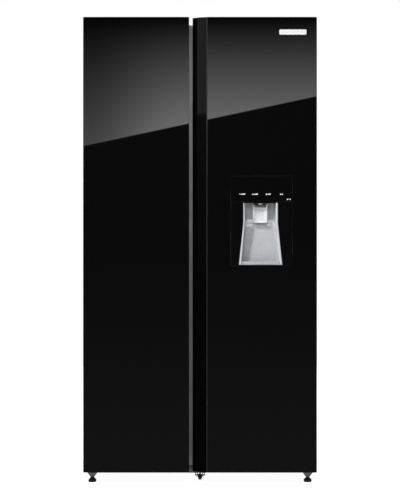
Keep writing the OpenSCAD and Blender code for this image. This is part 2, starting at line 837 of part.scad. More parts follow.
module fridge_door_core() {
    color("#e8dfb8") on_door(true) difference() {
        union() {
            door_core(true, 0);
            dyke_ring(true, -gap, core_y1 - eps);
            niche_bulge(-gap, core_y1 - eps);
        }
        along_y(y_glass, y_glass + niche_d + niche_wall + gap) niche_outline(niche_wall + gap);
        span([disp_u - disp_w / 2 - gap, y_glass, disp_z - gap],
             [disp_u + disp_w / 2 + gap, y_glass + bezel_t + 6 + gap, disp_z + disp_h + gap]);
    }
}

// Heights of the bins
freezer_bin_zs = [for (i = [0:4]) dyke_z0 + 24 + i * 315];
fridge_bin_zs = [dyke_z0 + 24, dyke_z0 + 339, tank_z + tank_h + bin_d + 22];
lug = 8;

// Inner skin of a door, over the dyke, with lugs that carry the bins
module door_liner(fridge, bin_zs) {
    u1 = pocket_u(fridge) - door_wall;
    in0 = dyke_u0 + dyke_w;
    in1 = dyke_u1(fridge) - dyke_w;
    difference() {
        union() {
            span([trim_w, y_door - liner_t, door_lift + cap_h], [u1, y_door, overall_h - cap_h]);
            dyke_ring(fridge, liner_t, y_door - liner_t);
            if (fridge) niche_bulge(liner_t, y_door - liner_t);
        }
        dyke_ring(fridge, 0, y_door - liner_t - eps);
        if (fridge) niche_bulge(0, y_door - liner_t - eps);
    }
    for (z = bin_zs, u = [in0, in1 - lug]) span([u, y_door, z - 8], [u + lug, y_door + 60, z]);
}

module freezer_door_liner() {
    color("#eef0f1") on_door(false) door_liner(false, freezer_bin_zs);
}

module fridge_door_liner() {
    color("#eef0f1") on_door(true) door_liner(true, concat(fridge_bin_zs, [dairy_z]));
}

// Magnetic seal: a flat ring, open in the middle
module door_gasket(fridge) {
    w = 11;
    u0 = hinge_in + 1;
    u1 = door_w(fridge) - 7.5;
    z0 = base_lift + 10;
    z1 = z_top - 8;
    color("#5c5e61") on_door(fridge) along_y(y_door, y_face - slide_gap) difference() {
        translate([u0, z0]) square([u1 - u0, z1 - z0]);
        translate([u0 + w, z0 + w]) square([u1 - u0 - 2 * w, z1 - z0 - 2 * w]);
    }
}

module freezer_door_gasket() {
    door_gasket(false);
}

module fridge_door_gasket() {
    door_gasket(true);
}

bin_y0 = y_door + 0.5;
bin_r = 10;

// One bin between the dykes
module door_bin(fridge, z, h) {
    u0 = dyke_u0 + dyke_w + bin_side;
    u1 = dyke_u1(fridge) - dyke_w - bin_side;
    tub(u0, bin_y0, z, u1, bin_y0 + bin_d, z + h, bin_wall, bin_r);
}

module freezer_door_bins() {
    color("#dfe9ee") on_door(false) for (z = freezer_bin_zs) door_bin(false, z, bin_h);
}

dairy_z = dyke_z1 - dyke_w - bin_d - 118;
dairy_h = 96;

// Centre of a lid's hinge over a tub whose top is z
function lid_axis(z) = [bin_y0 + 9, z + 5.5];
lid_pin_r = 3;
lid_ear_r = 6;
lid_t = 2.5;
lid_side = 0.5;

// A tub with two round-topped ears that carry a lid's pins
module lidded_tub(u0, u1, y1, z0, z1, r) {
    a = lid_axis(z1);
    bore = lid_pin_r + run_gap;
    tub(u0, bin_y0, z0, u1, y1, z1, bin_wall, r);
    for (u = [u0, u1 - bin_wall]) difference() {
        along_x(u, u + bin_wall) {
            translate(a) circle(r = lid_ear_r);
            translate([a[0] - lid_ear_r, z1 - 20]) square([2 * lid_ear_r, a[1] - z1 + 20]);
        }
        translate([u - eps, a[0], a[1]]) rotate([0, 90, 0]) cylinder(r = bore, h = bin_wall + 2 * eps);
    }
}

// A lid with its pins, reaching to y1 and down by lip
module hinged_lid(u0, u1, y1, z1, lip) {
    a = lid_axis(z1);
    in0 = u0 + bin_wall + lid_side;
    in1 = u1 - bin_wall - lid_side;
    z0 = z1 + lid_side;
    span([in0, a[0], z0], [in1, bin_y0 + bin_r + 4, z0 + lid_t]);
    span([u0, bin_y0 + bin_r + 6, z0], [u1, y1, z0 + lid_t]);
    span([in0, bin_y0 + bin_r + 3, z0], [in1, bin_y0 + bin_r + 7, z0 + lid_t]);
    span([u0, y1 - lid_t, z0 + lid_t - lip], [u1, y1, z0 + lid_t]);
    translate([u0, a[0], a[1]]) rotate([0, 90, 0]) cylinder(r = lid_pin_r, h = u1 - u0);
    span([in0, a[0] - 2, z0], [in1, a[0] + 2, a[1]]);
}

// The space between the dykes, from the hinge side
between_0 = dyke_u0 + dyke_w + bin_side;
between_1 = dyke_u1(true) - dyke_w - bin_side;

// Three open bins, and the dairy box at the top
module fridge_door_bins() {
    color("#dfe9ee") on_door(true) {
        for (z = fridge_bin_zs) door_bin(true, z, bin_h);
        lidded_tub(between_0, between_1, bin_y0 + bin_d, dairy_z, dairy_z + dairy_h, bin_r);
    }
}

// Clear lid of the dairy box, hinged at the door
module dairy_flap() {
    color("#e6eef2") on_door(true)
        hinged_lid(between_0, between_1, bin_y0 + bin_d + 0.5 + lid_t, dairy_z + dairy_h, 44);
}

// ---------- dispenser ----------

// The niche's mouth as [side, half width, height]: upright at the top, flared below, grown by e
function niche_mouth(e) = [
    for (s = [1, -1], i = [0:2]) let (k = s > 0 ? i : 2 - i)
        [s, (k < 2 ? niche_top : niche_foot) + e, [niche_z1 + e, niche_z1 - 80, niche_z0 - e][k]]
];

module niche_outline(e) {
    polygon([for (p = niche_mouth(e)) [niche_u + p[0] * p[1], p[2]]]);
}

// The room between the leaning side walls, from y0 back to y1, grown by e
module niche_room(e, y0, y1) {
    mouth = niche_mouth(e);
    n = len(mouth);
    lean = niche_draft / niche_d;
    polyhedron(
        points = [for (y = [y0, y1], p = mouth)
            [niche_u + p[0] * (p[1] - lean * (y - y_glass)), y, p[2]]],
        faces = concat(
            [[for (i = [0:n - 1]) i], [for (i = [0:n - 1]) 2 * n - 1 - i]],
            [for (i = [0:n - 1]) let (j = (i + 1) % n) [i, i + n, j + n, j]]));
}

// Side view of the niche, grown by e behind: upright back wall, a bend, then a slope to the front
module niche_depth(e, front) {
    y = y_glass;
    d = niche_d + e;
    polygon([[front, niche_z1 + e], [y + d, niche_z1 + e], [y + d, niche_z1 - 58],
             [y + d - 3, niche_z1 - 76], [y + d - 10, niche_z1 - 96], [y + 34 + e, niche_z0 + 16],
             [y + 34 + e, niche_z0 - e], [front, niche_z0 - e]]);
}

// Black front plate round the niche, below the control panel
module dispenser_bezel() {
    u0 = disp_u - disp_w / 2;
    u1 = disp_u + disp_w / 2;
    color("#08080a") on_door(true) difference() {
        union() {
            span([u0, y_glass, disp_z], [u1, y_glass + bezel_t, niche_z1 + 2]);
            span([u0, y_glass + bezel_t - 3, niche_z1 + 2],
                 [u1, y_glass + bezel_t + 6, disp_z + disp_h]);
        }
        along_y(y_glass - eps, y_glass + 2 * bezel_t) niche_outline(0.4);
    }
}

module control_panel() {
    color("#050506") on_door(true) span([disp_u - disp_w / 2, y_glass, niche_z1 + 2 + gap],
        [disp_u + disp_w / 2, y_glass + bezel_t - 3, disp_z + disp_h]);
}

// Silver moulding: side walls, back wall and floor, with the spout at the top
module dispenser_niche() {
    color("#c4c6c9") on_door(true) {
        difference() {
            intersection() {
                niche_room(0, y_glass + 0.2, y_glass + niche_d + niche_wall);
                along_x(niche_u - 100, niche_u + 100) niche_depth(niche_wall, y_glass);
            }
            intersection() {
                niche_room(-niche_wall, y_glass - eps, y_glass + niche_d);
                along_x(niche_u - 100, niche_u + 100) niche_depth(-0.01, y_glass - eps);
            }
        }
        for (u = [niche_u - paddle_w / 2 - 4, niche_u + paddle_w / 2 + 1]) difference() {
            span([u, paddle_y - 6, paddle_z - 6], [u + 3, paddle_y + 6, niche_z1 - 1]);
            translate([u - eps, paddle_y, paddle_z]) rotate([0, 90, 0])
                cylinder(r = 3 + run_gap, h = 3 + 2 * eps);
        }
        translate([niche_u, y_glass + 16, niche_z1 - 11]) difference() {
            cylinder(r = 8, h = 10);
            translate([0, 0, -eps]) cylinder(r = 5, h = 9);
        }
    }
}

paddle_y = y_glass + 36;
paddle_z = niche_z1 - 7;
paddle_l = 73;

// Lever behind the spout: a scoop between two arms, hung from a cross pin
module dispenser_paddle() {
    w = paddle_w / 2;
    arm = 4;
    color("#e2e3e5") on_door(true) {
        translate([niche_u - w - 4, paddle_y, paddle_z]) rotate([0, 90, 0]) cylinder(r = 3, h = paddle_w + 8);
        difference() {
            along_x(niche_u - w, niche_u + w)
                polygon([[paddle_y - 3, paddle_z], [paddle_y + 3, paddle_z],
                         [paddle_y + 3, paddle_z - paddle_l + 8], [paddle_y, paddle_z - paddle_l],
                         [paddle_y - 8, paddle_z - paddle_l],
                         [paddle_y - 10, paddle_z - paddle_l + 4], [paddle_y - 8, paddle_z - 20]]);
            along_x(niche_u - w + arm, niche_u + w - arm) {
                polygon([[paddle_y - 12, paddle_z - 24], [paddle_y - 4, paddle_z - 24],
                         [paddle_y - 7, paddle_z - paddle_l + 7],
                         [paddle_y - 14, paddle_z - paddle_l + 7]]);
                translate([paddle_y - 12, paddle_z - 12]) square([16, 13]);
            }
        }
    }
}

tray_side = 9.5;

// Shallow tray on the niche's floor
module drip_tray() {
    y0 = y_glass + 1;
    z0 = niche_z0 + niche_wall + slide_gap;
    half = niche_foot - niche_wall - tray_side;
    color("#b8babd") on_door(true) difference() {
        span([niche_u - half, y0, z0], [niche_u + half, y_glass + 31, z0 + 11]);
        span([niche_u - half + 2, y0 + 2, z0 + 2], [niche_u + half - 2, y_glass + 29, z0 + 12]);
    }
}

tank_y1 = bin_y0 + bin_d - 2;

// Drinking water tank behind the door, with its outlet over the niche
module water_tank() {
    color("#b9d3de") on_door(true) lidded_tub(between_0, between_1, tank_y1, tank_z, tank_z + tank_h, 12);
}

// Hinged lid of the tank
module tank_lid() {
    color("#dfe6ea") on_door(true) hinged_lid(between_0, between_1, tank_y1 + 3, tank_z + tank_h, lid_t);
}

// Plain plate at the top of the fridge door
module badge_plate() {
    color("#d8dadc") on_door(true) along_y(y_glass - badge_t, y_glass)
        round_rect([40, overall_h - 68], [144, overall_h - 48], 4);
}

// ---------- drawers ----------

// A drawer: a box with a thicker front that has a grip slot under its rim
module drawer(x0, x1, y1, z0, h) {
    front_t = 5;
    mid = (x0 + x1) / 2;
    grip = 60;
    color("#dbe7ed") difference() {
        union() {
            tub(x0 + 4, y_shelf + front_t - 1, z0, x1 - 4, y1, z0 + h, bin_wall, 8);
            span([x0 + 3, y_shelf, z0], [x1 - 3, y_shelf + front_t, z0 + h]);
        }
        span([mid - grip, y_shelf - eps, z0 + h - 34], [mid + grip, y_shelf + 20, z0 + h - 14]);
    }
}

module freezer_drawer_upper() {
    drawer(fz0, fz1, y_liner - duct_d - 8, drawer_up_z, drawer_up_h);
}

module freezer_drawer_lower() {
    drawer(fz0, fz1, y_step - 4, drawer_lo_z, drawer_lo_h);
}

module crisper_upper() {
    drawer(fr0, fr1, y_liner - fridge_duct_d - 8, drawer_up_z, drawer_up_h);
}

module crisper_lower() {
    drawer(fr0, fr1, y_step - 4, drawer_lo_z, drawer_lo_h);
}

// ---------- fans ----------

// Hub and pitched blades, turning about Z
module impeller(r, hub_r, h, blades, stub) {
    cylinder(r = hub_r, h = h);
    translate([0, 0, -stub]) cylinder(r = 3, h = stub + 1);
    for (i = [0:blades - 1]) rotate([0, 0, i * 360 / blades])
        translate([hub_r - 2, 0, h / 2]) rotate([32, 0, 0])
            translate([0, -r * 0.26, -0.8]) cube([r - hub_r, r * 0.52, 1.6]);
}

module evaporator_fan() {
    color("#3a3c3f") translate([fan_x, fan_y + 13, fan_z]) rotate([90, 0, 0]) impeller(fan_r, 15, 14, 5, 0.7);
}

module condenser_fan() {
    color("#3a3c3f") translate([cfan_x - 19.5, cfan_y, cfan_z]) rotate([0, 90, 0])
        impeller(cfan_r, 18, 16, 7, 2.2);
}

// ---------- build ----------

side_panels();
top_panel();
back_panel();
base_frame();
machine_bulkhead();
front_frame();
insulation();
freezer_liner();
fridge_liner();
glass_shelves();
shelf_trims();
freezer_duct_cover();
fridge_duct_cover();
evaporator();
lamp_covers();
compressor();
evaporation_pan();
condenser();
fan_motors();
machine_cover();
top_hinges();
hinge_covers();
bottom_brackets();
centre_bracket();
cord_gland();
fasteners();
freezer_door_glass();
freezer_door_frame();
freezer_grip_profile();
freezer_door_core();
freezer_door_liner();
freezer_door_gasket();
freezer_door_bins();
fridge_door_glass();
fridge_door_frame();
fridge_grip_profile();
fridge_door_core();
fridge_door_liner();
fridge_door_gasket();
fridge_door_bins();
dispenser_bezel();
control_panel();
dispenser_niche();
water_tank();
badge_plate();
dispenser_paddle();
drip_tray();
tank_lid();
dairy_flap();
freezer_drawer_upper();
freezer_drawer_lower();
crisper_upper();
crisper_lower();
evaporator_fan();
condenser_fan();
foot_left();
foot_right();
foot_centre();
roller_left();
roller_right();
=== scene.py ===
# %% [markdown]
# # A side by side refrigerator
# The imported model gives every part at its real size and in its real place. This lesson gives
# each part the finish that it has on a real appliance, adds the small shapes that a machine
# drawing leaves out, and lights the whole in a plain studio. Lengths are metres, +Z is up, and
# the doors face -Y.

# %% Load the frame
import json
import math

import bmesh
import bpy
from mathutils import Matrix, Vector


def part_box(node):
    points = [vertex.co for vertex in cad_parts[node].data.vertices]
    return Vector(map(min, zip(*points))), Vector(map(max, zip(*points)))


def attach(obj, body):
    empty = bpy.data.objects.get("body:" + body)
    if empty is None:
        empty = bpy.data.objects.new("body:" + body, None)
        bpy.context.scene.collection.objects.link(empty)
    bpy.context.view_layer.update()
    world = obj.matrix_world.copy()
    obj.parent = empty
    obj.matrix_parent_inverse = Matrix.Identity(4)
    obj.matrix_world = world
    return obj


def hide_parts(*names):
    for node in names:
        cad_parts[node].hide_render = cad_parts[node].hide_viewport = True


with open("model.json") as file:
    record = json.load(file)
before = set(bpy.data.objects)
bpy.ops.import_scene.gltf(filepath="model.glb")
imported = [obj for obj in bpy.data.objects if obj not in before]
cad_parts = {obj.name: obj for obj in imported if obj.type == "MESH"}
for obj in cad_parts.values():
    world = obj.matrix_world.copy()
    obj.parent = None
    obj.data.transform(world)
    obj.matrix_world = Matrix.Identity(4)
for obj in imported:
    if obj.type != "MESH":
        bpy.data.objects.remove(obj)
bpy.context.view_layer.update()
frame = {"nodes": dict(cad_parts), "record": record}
MM = 0.001
SAME_POINT = 0.01 * MM

# %% [markdown]
# ## Shader maths in plain Python
# A procedural finish is a short piece of arithmetic on positions and noise. Dragging Math nodes
# by hand makes it hard to read, so a small class wraps a socket and lets Python's own signs add
# the nodes. A second class keeps one node tree and has one method that adds any node.

# %% A socket that takes +, -, *, / and **
class Signal:
    """A value, colour or vector inside a node tree."""

    def __init__(self, bench, socket):
        self.bench = bench
        self.socket = socket

    def maths(self, operation, *values):
        return self.bench.node("ShaderNodeMath", {"operation": operation}, dict(enumerate(values)))

    def __add__(self, other):
        return self.maths("ADD", self, other)

    def __sub__(self, other):
        return self.maths("SUBTRACT", self, other)

    def __rsub__(self, other):
        return self.maths("SUBTRACT", other, self)

    def __mul__(self, other):
        return self.maths("MULTIPLY", self, other)

    def __truediv__(self, other):
        return self.maths("DIVIDE", self, other)

    def __rtruediv__(self, other):
        return self.maths("DIVIDE", other, self)

    def __pow__(self, other):
        return self.maths("POWER", self, other)

    __radd__ = __add__
    __rmul__ = __mul__

    def size(self):
        return self.maths("ABSOLUTE", self)

    def ramp(self, low, high):
        """0 below low, 1 above high, and a smooth turn between them."""
        return self.bench.node(
            "ShaderNodeMapRange", {"interpolation_type": "SMOOTHSTEP"}, {0: self, 1: low, 2: high}
        )


# %% A node tree with one way to add a node
class Bench:
    """A node tree, and the patterns that the finishes share."""

    def __init__(self, tree):
        self.tree = tree

    def join(self, value, socket):
        if isinstance(value, Signal):
            self.tree.links.new(value.socket, socket)
        else:
            socket.default_value = value

    def node(self, kind, settings=None, inputs=None, output=0):
        made = self.tree.nodes.new(kind)
        for name, value in (settings or {}).items():
            setattr(made, name, value)
        for name, value in (inputs or {}).items():
            self.join(value, made.inputs[name])
        return Signal(self, made.outputs[output]) if len(made.outputs) else None

    def place(self):
        """Where a point is, in metres. No part's own origin is moved, so this is the frame."""
        return self.node("ShaderNodeTexCoord", output=3)

    def split(self, vector):
        made = self.node("ShaderNodeSeparateXYZ", {}, {0: vector}).socket.node
        return [Signal(self, socket) for socket in made.outputs]

    def facing(self):
        """The three parts of the surface's own direction."""
        return self.split(self.node("ShaderNodeNewGeometry", output=1))

    def noise(self, size, detail=2.0, stretch=(1, 1, 1)):
        """Soft noise whose blots are about size metres across, drawn out by stretch."""
        scaled = [1 / (size * s) for s in stretch]
        at = self.node("ShaderNodeVectorMath", {"operation": "MULTIPLY"}, {0: self.place(), 1: scaled})
        return self.node("ShaderNodeTexNoise", {}, {"Vector": at, "Scale": 1.0, "Detail": detail})

    def cells(self, size, output=0):
        """Cells about size metres across: output 0 is the distance, 1 a colour for each cell."""
        return self.node("ShaderNodeTexVoronoi", {}, {"Vector": self.place(), "Scale": 1 / size}, output)

    def blend(self, share, first, second):
        """The first colour where share is 0, and the second where it is 1."""
        return self.node("ShaderNodeMix", {"data_type": "RGBA"}, {0: share, 6: first, 7: second}, 2)


# %% One finish is one Principled shader
class Finish(Bench):
    """A material. Numbers go on the shader's own sockets, and patterns are linked to them."""

    def __init__(self, name, sockets):
        self.name = name
        self.material = bpy.data.materials.new(name + "_finish")
        self.material.use_nodes = True
        super().__init__(self.material.node_tree)
        self.shader = self.tree.nodes["Principled BSDF"]
        self.feed(sockets)

    def feed(self, sockets):
        for name, value in sockets.items():
            self.join(value, self.shader.inputs[name])

    def relief(self, height, depth):
        """Raises the surface by height times depth, in metres."""
        self.feed({"Normal": self.node("ShaderNodeBump", {}, {"Height": height, "Distance": depth})})


def tone(red, green=None, blue=None):
    """A colour from three numbers, or a grey from one."""
    return (red, red if green is None else green, red if blue is None else blue, 1.0)


finishes = {}


def keep(finish):
    finishes[finish.name] = finish.material
    print("finish", finish.name, "with", len(finish.tree.nodes), "nodes")


# %% [markdown]
# ## Back-painted glass
# The door fronts are 4 mm float glass with black enamel fired on the back. What shows is almost
# only the reflection in the front face, so the colour is close to nothing, and the roughness is
# that of clean glass with a little handling haze. Cut edges are ground and not polished, so they
# scatter light. The edge is picked out by the way the surface faces, which needs no mask.

# %% Black glass
def black_glass():
    glass = Finish("black_glass", {"IOR": 1.5, "Specular IOR Level": 0.5})
    forward = glass.facing()[1]
    edge = 1 - forward.size().ramp(0.80, 0.97)
    haze = glass.noise(90 * MM, 4).ramp(0.45, 0.75)
    dust = glass.cells(2.3 * MM).ramp(0.06, 0.02) * glass.noise(35 * MM).ramp(0.52, 0.7)
    enamel = glass.blend(dust * 0.4, tone(0.0006, 0.0006, 0.0008), tone(0.0022))
    glass.feed({"Base Color": glass.blend(edge, enamel, tone(0.018, 0.021, 0.020))})
    glass.feed({"Roughness": 0.012 + haze * 0.018 + edge * 0.25})
    glass.relief(glass.noise(0.6 * MM) * edge, 0.05 * MM)
    keep(glass)


black_glass()

# %% [markdown]
# ## Gloss black mouldings
# The curved grip strip and the dispenser's front plate are black ABS, moulded against polished
# steel. Polished plastic is never as flat as glass: it has a very shallow orange peel, which
# softens what it mirrors, and hairline wiping marks.

# %% Gloss black plastic
def gloss_black():
    gloss = Finish("gloss_black", {"IOR": 1.52})
    wipes = gloss.noise(5 * MM, 3, (0.15, 1, 6)).ramp(0.55, 0.8)
    peel = gloss.noise(3.5 * MM, 1)
    gloss.feed({"Base Color": gloss.blend(wipes, tone(0.0007), tone(0.0016, 0.0016, 0.0018))})
    gloss.feed({"Roughness": 0.045 + wipes * 0.03})
    gloss.relief(peel, 0.002 * MM)
    keep(gloss)


gloss_black()


# %% Moulded black plastic with a spark-eroded grain
def black_plastic():
    moulded = Finish("black_plastic", {"IOR": 1.5})
    grain = moulded.noise(0.5 * MM, 2)
    scuff = moulded.noise(28 * MM, 5).ramp(0.55, 0.75)
    moulded.feed({"Base Color": moulded.blend(scuff, tone(0.010, 0.010, 0.011), tone(0.019))})
    moulded.feed({"Roughness": 0.42 + grain * 0.16})
    moulded.relief(grain, 0.06 * MM)
    keep(moulded)


black_plastic()

# %% [markdown]
# ## Painted and plated steel
# The cabinet is pre-painted sheet, whose baked paint has a fine orange peel. The back is bare
# galvanised sheet: zinc freezes in flat crystals, so neighbouring patches mirror differently.
# Voronoi cells give those patches their own grey and their own roughness.

# %% Cabinet paint and the front face's paint
def sheet_paint(name, dark, light):
    paint = Finish(name, {"IOR": 1.5, "Metallic": 0.15})
    peel = paint.noise(1.6 * MM, 2)
    rubbed = paint.noise(160 * MM, 5).ramp(0.4, 0.7)
    paint.feed({"Base Color": paint.blend(rubbed, dark, light)})
    paint.feed({"Roughness": 0.36 + peel * 0.10 + rubbed * 0.05})
    paint.relief(peel, 0.03 * MM)
    keep(paint)


sheet_paint("cabinet_paint", tone(0.075, 0.077, 0.082), tone(0.088, 0.090, 0.095))
sheet_paint("frame_paint", tone(0.46, 0.47, 0.48), tone(0.53, 0.54, 0.55))


# %% Galvanised sheet
def zinc_sheet():
    zinc = Finish("zinc_sheet", {"Metallic": 0.85})
    crystal = zinc.split(zinc.cells(14 * MM, output=1))[0]
    frost = zinc.noise(2 * MM, 4)
    share = crystal * 0.7 + frost * 0.3
    zinc.feed({"Base Color": zinc.blend(share, tone(0.30, 0.31, 0.32), tone(0.55, 0.56, 0.57))})
    zinc.feed({"Roughness": 0.34 + crystal * 0.16})
    zinc.relief(frost, 0.02 * MM)
    keep(zinc)


zinc_sheet()


# %% Bracket steel: a dark dip coat that is rubbed thin in places
def bracket_steel():
    steel = Finish("bracket_steel", {"IOR": 1.5})
    rub = steel.noise(7 * MM, 5).ramp(0.58, 0.72)
    steel.feed({"Base Color": steel.blend(rub, tone(0.105, 0.106, 0.110), tone(0.19, 0.19, 0.195))})
    steel.feed({"Metallic": 0.25 + rub * 0.45, "Roughness": 0.50 - rub * 0.12})
    steel.relief(steel.noise(0.8 * MM, 3), 0.04 * MM)
    keep(steel)


bracket_steel()


# %% Enamel of the compressor's shell and of the condenser
def compressor_paint():
    enamel = Finish("compressor_paint", {"IOR": 1.5, "Coat Roughness": 0.12})
    peel = enamel.noise(2.5 * MM, 1)
    dust = enamel.noise(30 * MM, 5).ramp(0.5, 0.8) * enamel.facing()[2].ramp(0.2, 0.9)
    enamel.feed({"Base Color": enamel.blend(dust, tone(0.012, 0.012, 0.013), tone(0.10, 0.095, 0.085))})
    enamel.feed({"Roughness": 0.28 + dust * 0.4, "Coat Weight": 0.5 - dust * 0.5})
    enamel.relief(peel, 0.08 * MM)
    keep(enamel)


compressor_paint()


# %% Bare metals: zinc-plated motors, screws, aluminium coil, the badge
def bare_metal(name, dark, light, rough, grain, stretch, depth, shine=1.0):
    metal = Finish(name, {"Metallic": shine})
    strokes = metal.noise(grain, 4, stretch)
    tarnish = metal.noise(18 * MM, 4).ramp(0.5, 0.8)
    metal.feed({"Base Color": metal.blend(tarnish * 0.4 + strokes * 0.6, light, dark)})
    metal.feed({"Roughness": rough + strokes * 0.12 + tarnish * 0.08})
    metal.relief(strokes, depth)
    keep(metal)


bare_metal(
    "motor_metal", tone(0.28, 0.28, 0.30), tone(0.48, 0.49, 0.50), 0.30, 3 * MM, (1, 1, 0.3), 0.02 * MM
)
bare_metal(
    "screw_steel", tone(0.36, 0.36, 0.38), tone(0.66, 0.66, 0.67), 0.20, 1.2 * MM, (1, 1, 1), 0.02 * MM
)
bare_metal(
    "coil_aluminium", tone(0.50, 0.51, 0.52), tone(0.78, 0.79, 0.80), 0.32, 2 * MM, (3, 1, 1), 0.02 * MM
)
bare_metal(
    "bright_silver", tone(0.74, 0.75, 0.76), tone(0.90, 0.91, 0.92), 0.18, 0.5 * MM, (30, 1, 0.6),
    0.01 * MM, shine=0.5,
)

# %% [markdown]
# ## Silver mouldings of the dispenser
# The niche and the tray are ABS sprayed with aluminium paint: grey lacquer with tiny flakes that
# lie at slightly different angles, under a clear coat. Voronoi cells a quarter of a millimetre
# wide stand for the flakes. The paddle is vacuum plated, so it is brighter and smoother.

# %% Silver paint and the plated paddle
def silver(name, dark, light, metal, rough, flake_depth):
    paint = Finish(name, {"Metallic": metal, "Coat Roughness": 0.08, "Coat Weight": 0.4})
    flake = paint.split(paint.cells(0.28 * MM, output=1))[0]
    cloud = paint.noise(25 * MM, 3)
    paint.feed({"Base Color": paint.blend(flake * 0.6 + cloud * 0.4, dark, light)})
    paint.feed({"Roughness": rough + flake * 0.10 + cloud * 0.04})
    paint.relief(flake, flake_depth)
    keep(paint)


silver("silver_plastic", tone(0.52, 0.53, 0.55), tone(0.68, 0.69, 0.71), 0.52, 0.21, 0.004 * MM)
silver("paddle_silver", tone(0.66, 0.67, 0.68), tone(0.80, 0.81, 0.82), 0.42, 0.18, 0.001 * MM)

# %% [markdown]
# ## The white inside
# Liners are polystyrene sheet drawn into a mould. The sheet stretches most in the corners, and
# its skin keeps a faint orange peel. Trims and duct covers are injection moulded and smoother.
# Behind them is polyurethane foam, which shows its cut cells.

# %% Liners, trims and lamp lenses
def white_plastic(name, dark, light, rough, peel_size, depth):
    under_skin = {"Subsurface Weight": 0.04, "Subsurface Radius": (0.002, 0.002, 0.002)}
    white = Finish(name, {"IOR": 1.49, **under_skin})
    peel = white.noise(peel_size, 2)
    drawn = white.noise(120 * MM, 3)
    white.feed({"Base Color": white.blend(drawn, dark, light)})
    white.feed({"Roughness": rough + peel * 0.10})
    white.relief(peel, depth)
    keep(white)


white_plastic("liner_plastic", tone(0.72, 0.735, 0.74), tone(0.80, 0.81, 0.815), 0.26, 4 * MM, 0.05 * MM)
white_plastic("white_trim", tone(0.80, 0.81, 0.82), tone(0.86, 0.865, 0.87), 0.22, 2 * MM, 0.02 * MM)


def lamp_lens():
    lens = Finish("lamp_lens", {"IOR": 1.49, "Emission Strength": 0.35})
    rib_pitch = 4 * MM
    phase = lens.split(lens.place())[0] * (2 * math.pi / rib_pitch)
    ribs = phase.maths("SINE", phase)
    glow = lens.noise(30 * MM)
    lens.feed({"Base Color": lens.blend(glow, tone(0.86, 0.86, 0.82), tone(0.93, 0.93, 0.90))})
    lens.feed({"Emission Color": lens.blend(glow, tone(0.9, 0.92, 1.0), tone(1.0, 1.0, 1.0))})
    lens.feed({"Roughness": 0.18 + glow * 0.08})
    lens.relief(ribs, 0.3 * MM)
    keep(lens)


lamp_lens()


# %% Polyurethane foam
def foam():
    rigid = Finish("foam", {"IOR": 1.4})
    pores = rigid.cells(1.1 * MM)
    skin_of_cell = pores.ramp(0.1, 0.6)
    rigid.feed({"Base Color": rigid.blend(skin_of_cell, tone(0.42, 0.33, 0.15), tone(0.66, 0.57, 0.33))})
    rigid.feed({"Roughness": 0.80 + pores * 0.15})
    rigid.relief(pores, 0.5 * MM)
    keep(rigid)


foam()

# %% [markdown]
# ## Things that let light through
# Shelves are toughened glass: nearly clear through the face, and green at the edge, where one
# looks through hundreds of millimetres of it. Bins and drawers are clear polystyrene, with flow
# lines from the mould and a haze. Alpha is used and not refraction, because a thin wall hardly
# bends light, and it renders fast through the many layers of a full refrigerator.

# %% Shelf glass and clear plastic
def shelf_glass():
    glass = Finish("shelf_glass", {"IOR": 1.52, "Roughness": 0.04})
    edge = 1 - glass.facing()[2].size().ramp(0.6, 0.95)
    streak = glass.noise(40 * MM, 2, (1, 4, 1))
    clear = glass.blend(streak, tone(0.72, 0.86, 0.82), tone(0.80, 0.90, 0.87))
    glass.feed({"Base Color": glass.blend(edge, clear, tone(0.16, 0.42, 0.34))})
    glass.feed({"Alpha": 0.16 + streak * 0.04 + edge * 0.66})
    keep(glass)


def clear_plastic():
    clear = Finish("clear_plastic", {"IOR": 1.58})
    flow = clear.noise(14 * MM, 3, (1, 1, 5))
    rim = clear.node("ShaderNodeLayerWeight", {}, {"Blend": 0.35}, 1)
    clear.feed({"Base Color": clear.blend(flow, tone(0.70, 0.80, 0.85), tone(0.84, 0.91, 0.94))})
    clear.feed({"Alpha": 0.24 + flow * 0.08 + rim * 0.38, "Roughness": 0.05 + flow * 0.06})
    clear.relief(flow, 0.15 * MM)
    keep(clear)


shelf_glass()
clear_plastic()


# %% Gasket vinyl and foot nylon
def soft_black(name, dark, light, rough, grain, depth):
    vinyl = Finish(name, {"IOR": 1.47})
    skin = vinyl.noise(grain, 3)
    worn = vinyl.noise(22 * MM, 5).ramp(0.5, 0.78)
    vinyl.feed({"Base Color": vinyl.blend(worn, dark, light)})
    vinyl.feed({"Roughness": rough + skin * 0.14})
    vinyl.relief(skin, depth)
    keep(vinyl)


soft_black("gasket_rubber", tone(0.085, 0.087, 0.090), tone(0.12, 0.122, 0.125), 0.48, 1.1 * MM, 0.05 * MM)
soft_black("foot_plastic", tone(0.016, 0.016, 0.017), tone(0.040, 0.039, 0.037), 0.44, 0.7 * MM, 0.06 * MM)

# %% [markdown]
# ## Edges that catch the light
# Nothing that is moulded, pressed or ground has a perfectly sharp edge, and the thin highlight on
# a rounded edge is what makes a part look made. Each CAD part keeps its mesh. Modifiers on top of
# it join the triangles into flat faces, round the edges by a size that suits the part, and shade
# smoothly everything that turns by less than 30 degrees. The last modifier weighs each face by
# its area, so that a large flat front stays a flat mirror right up to its rounded edge.

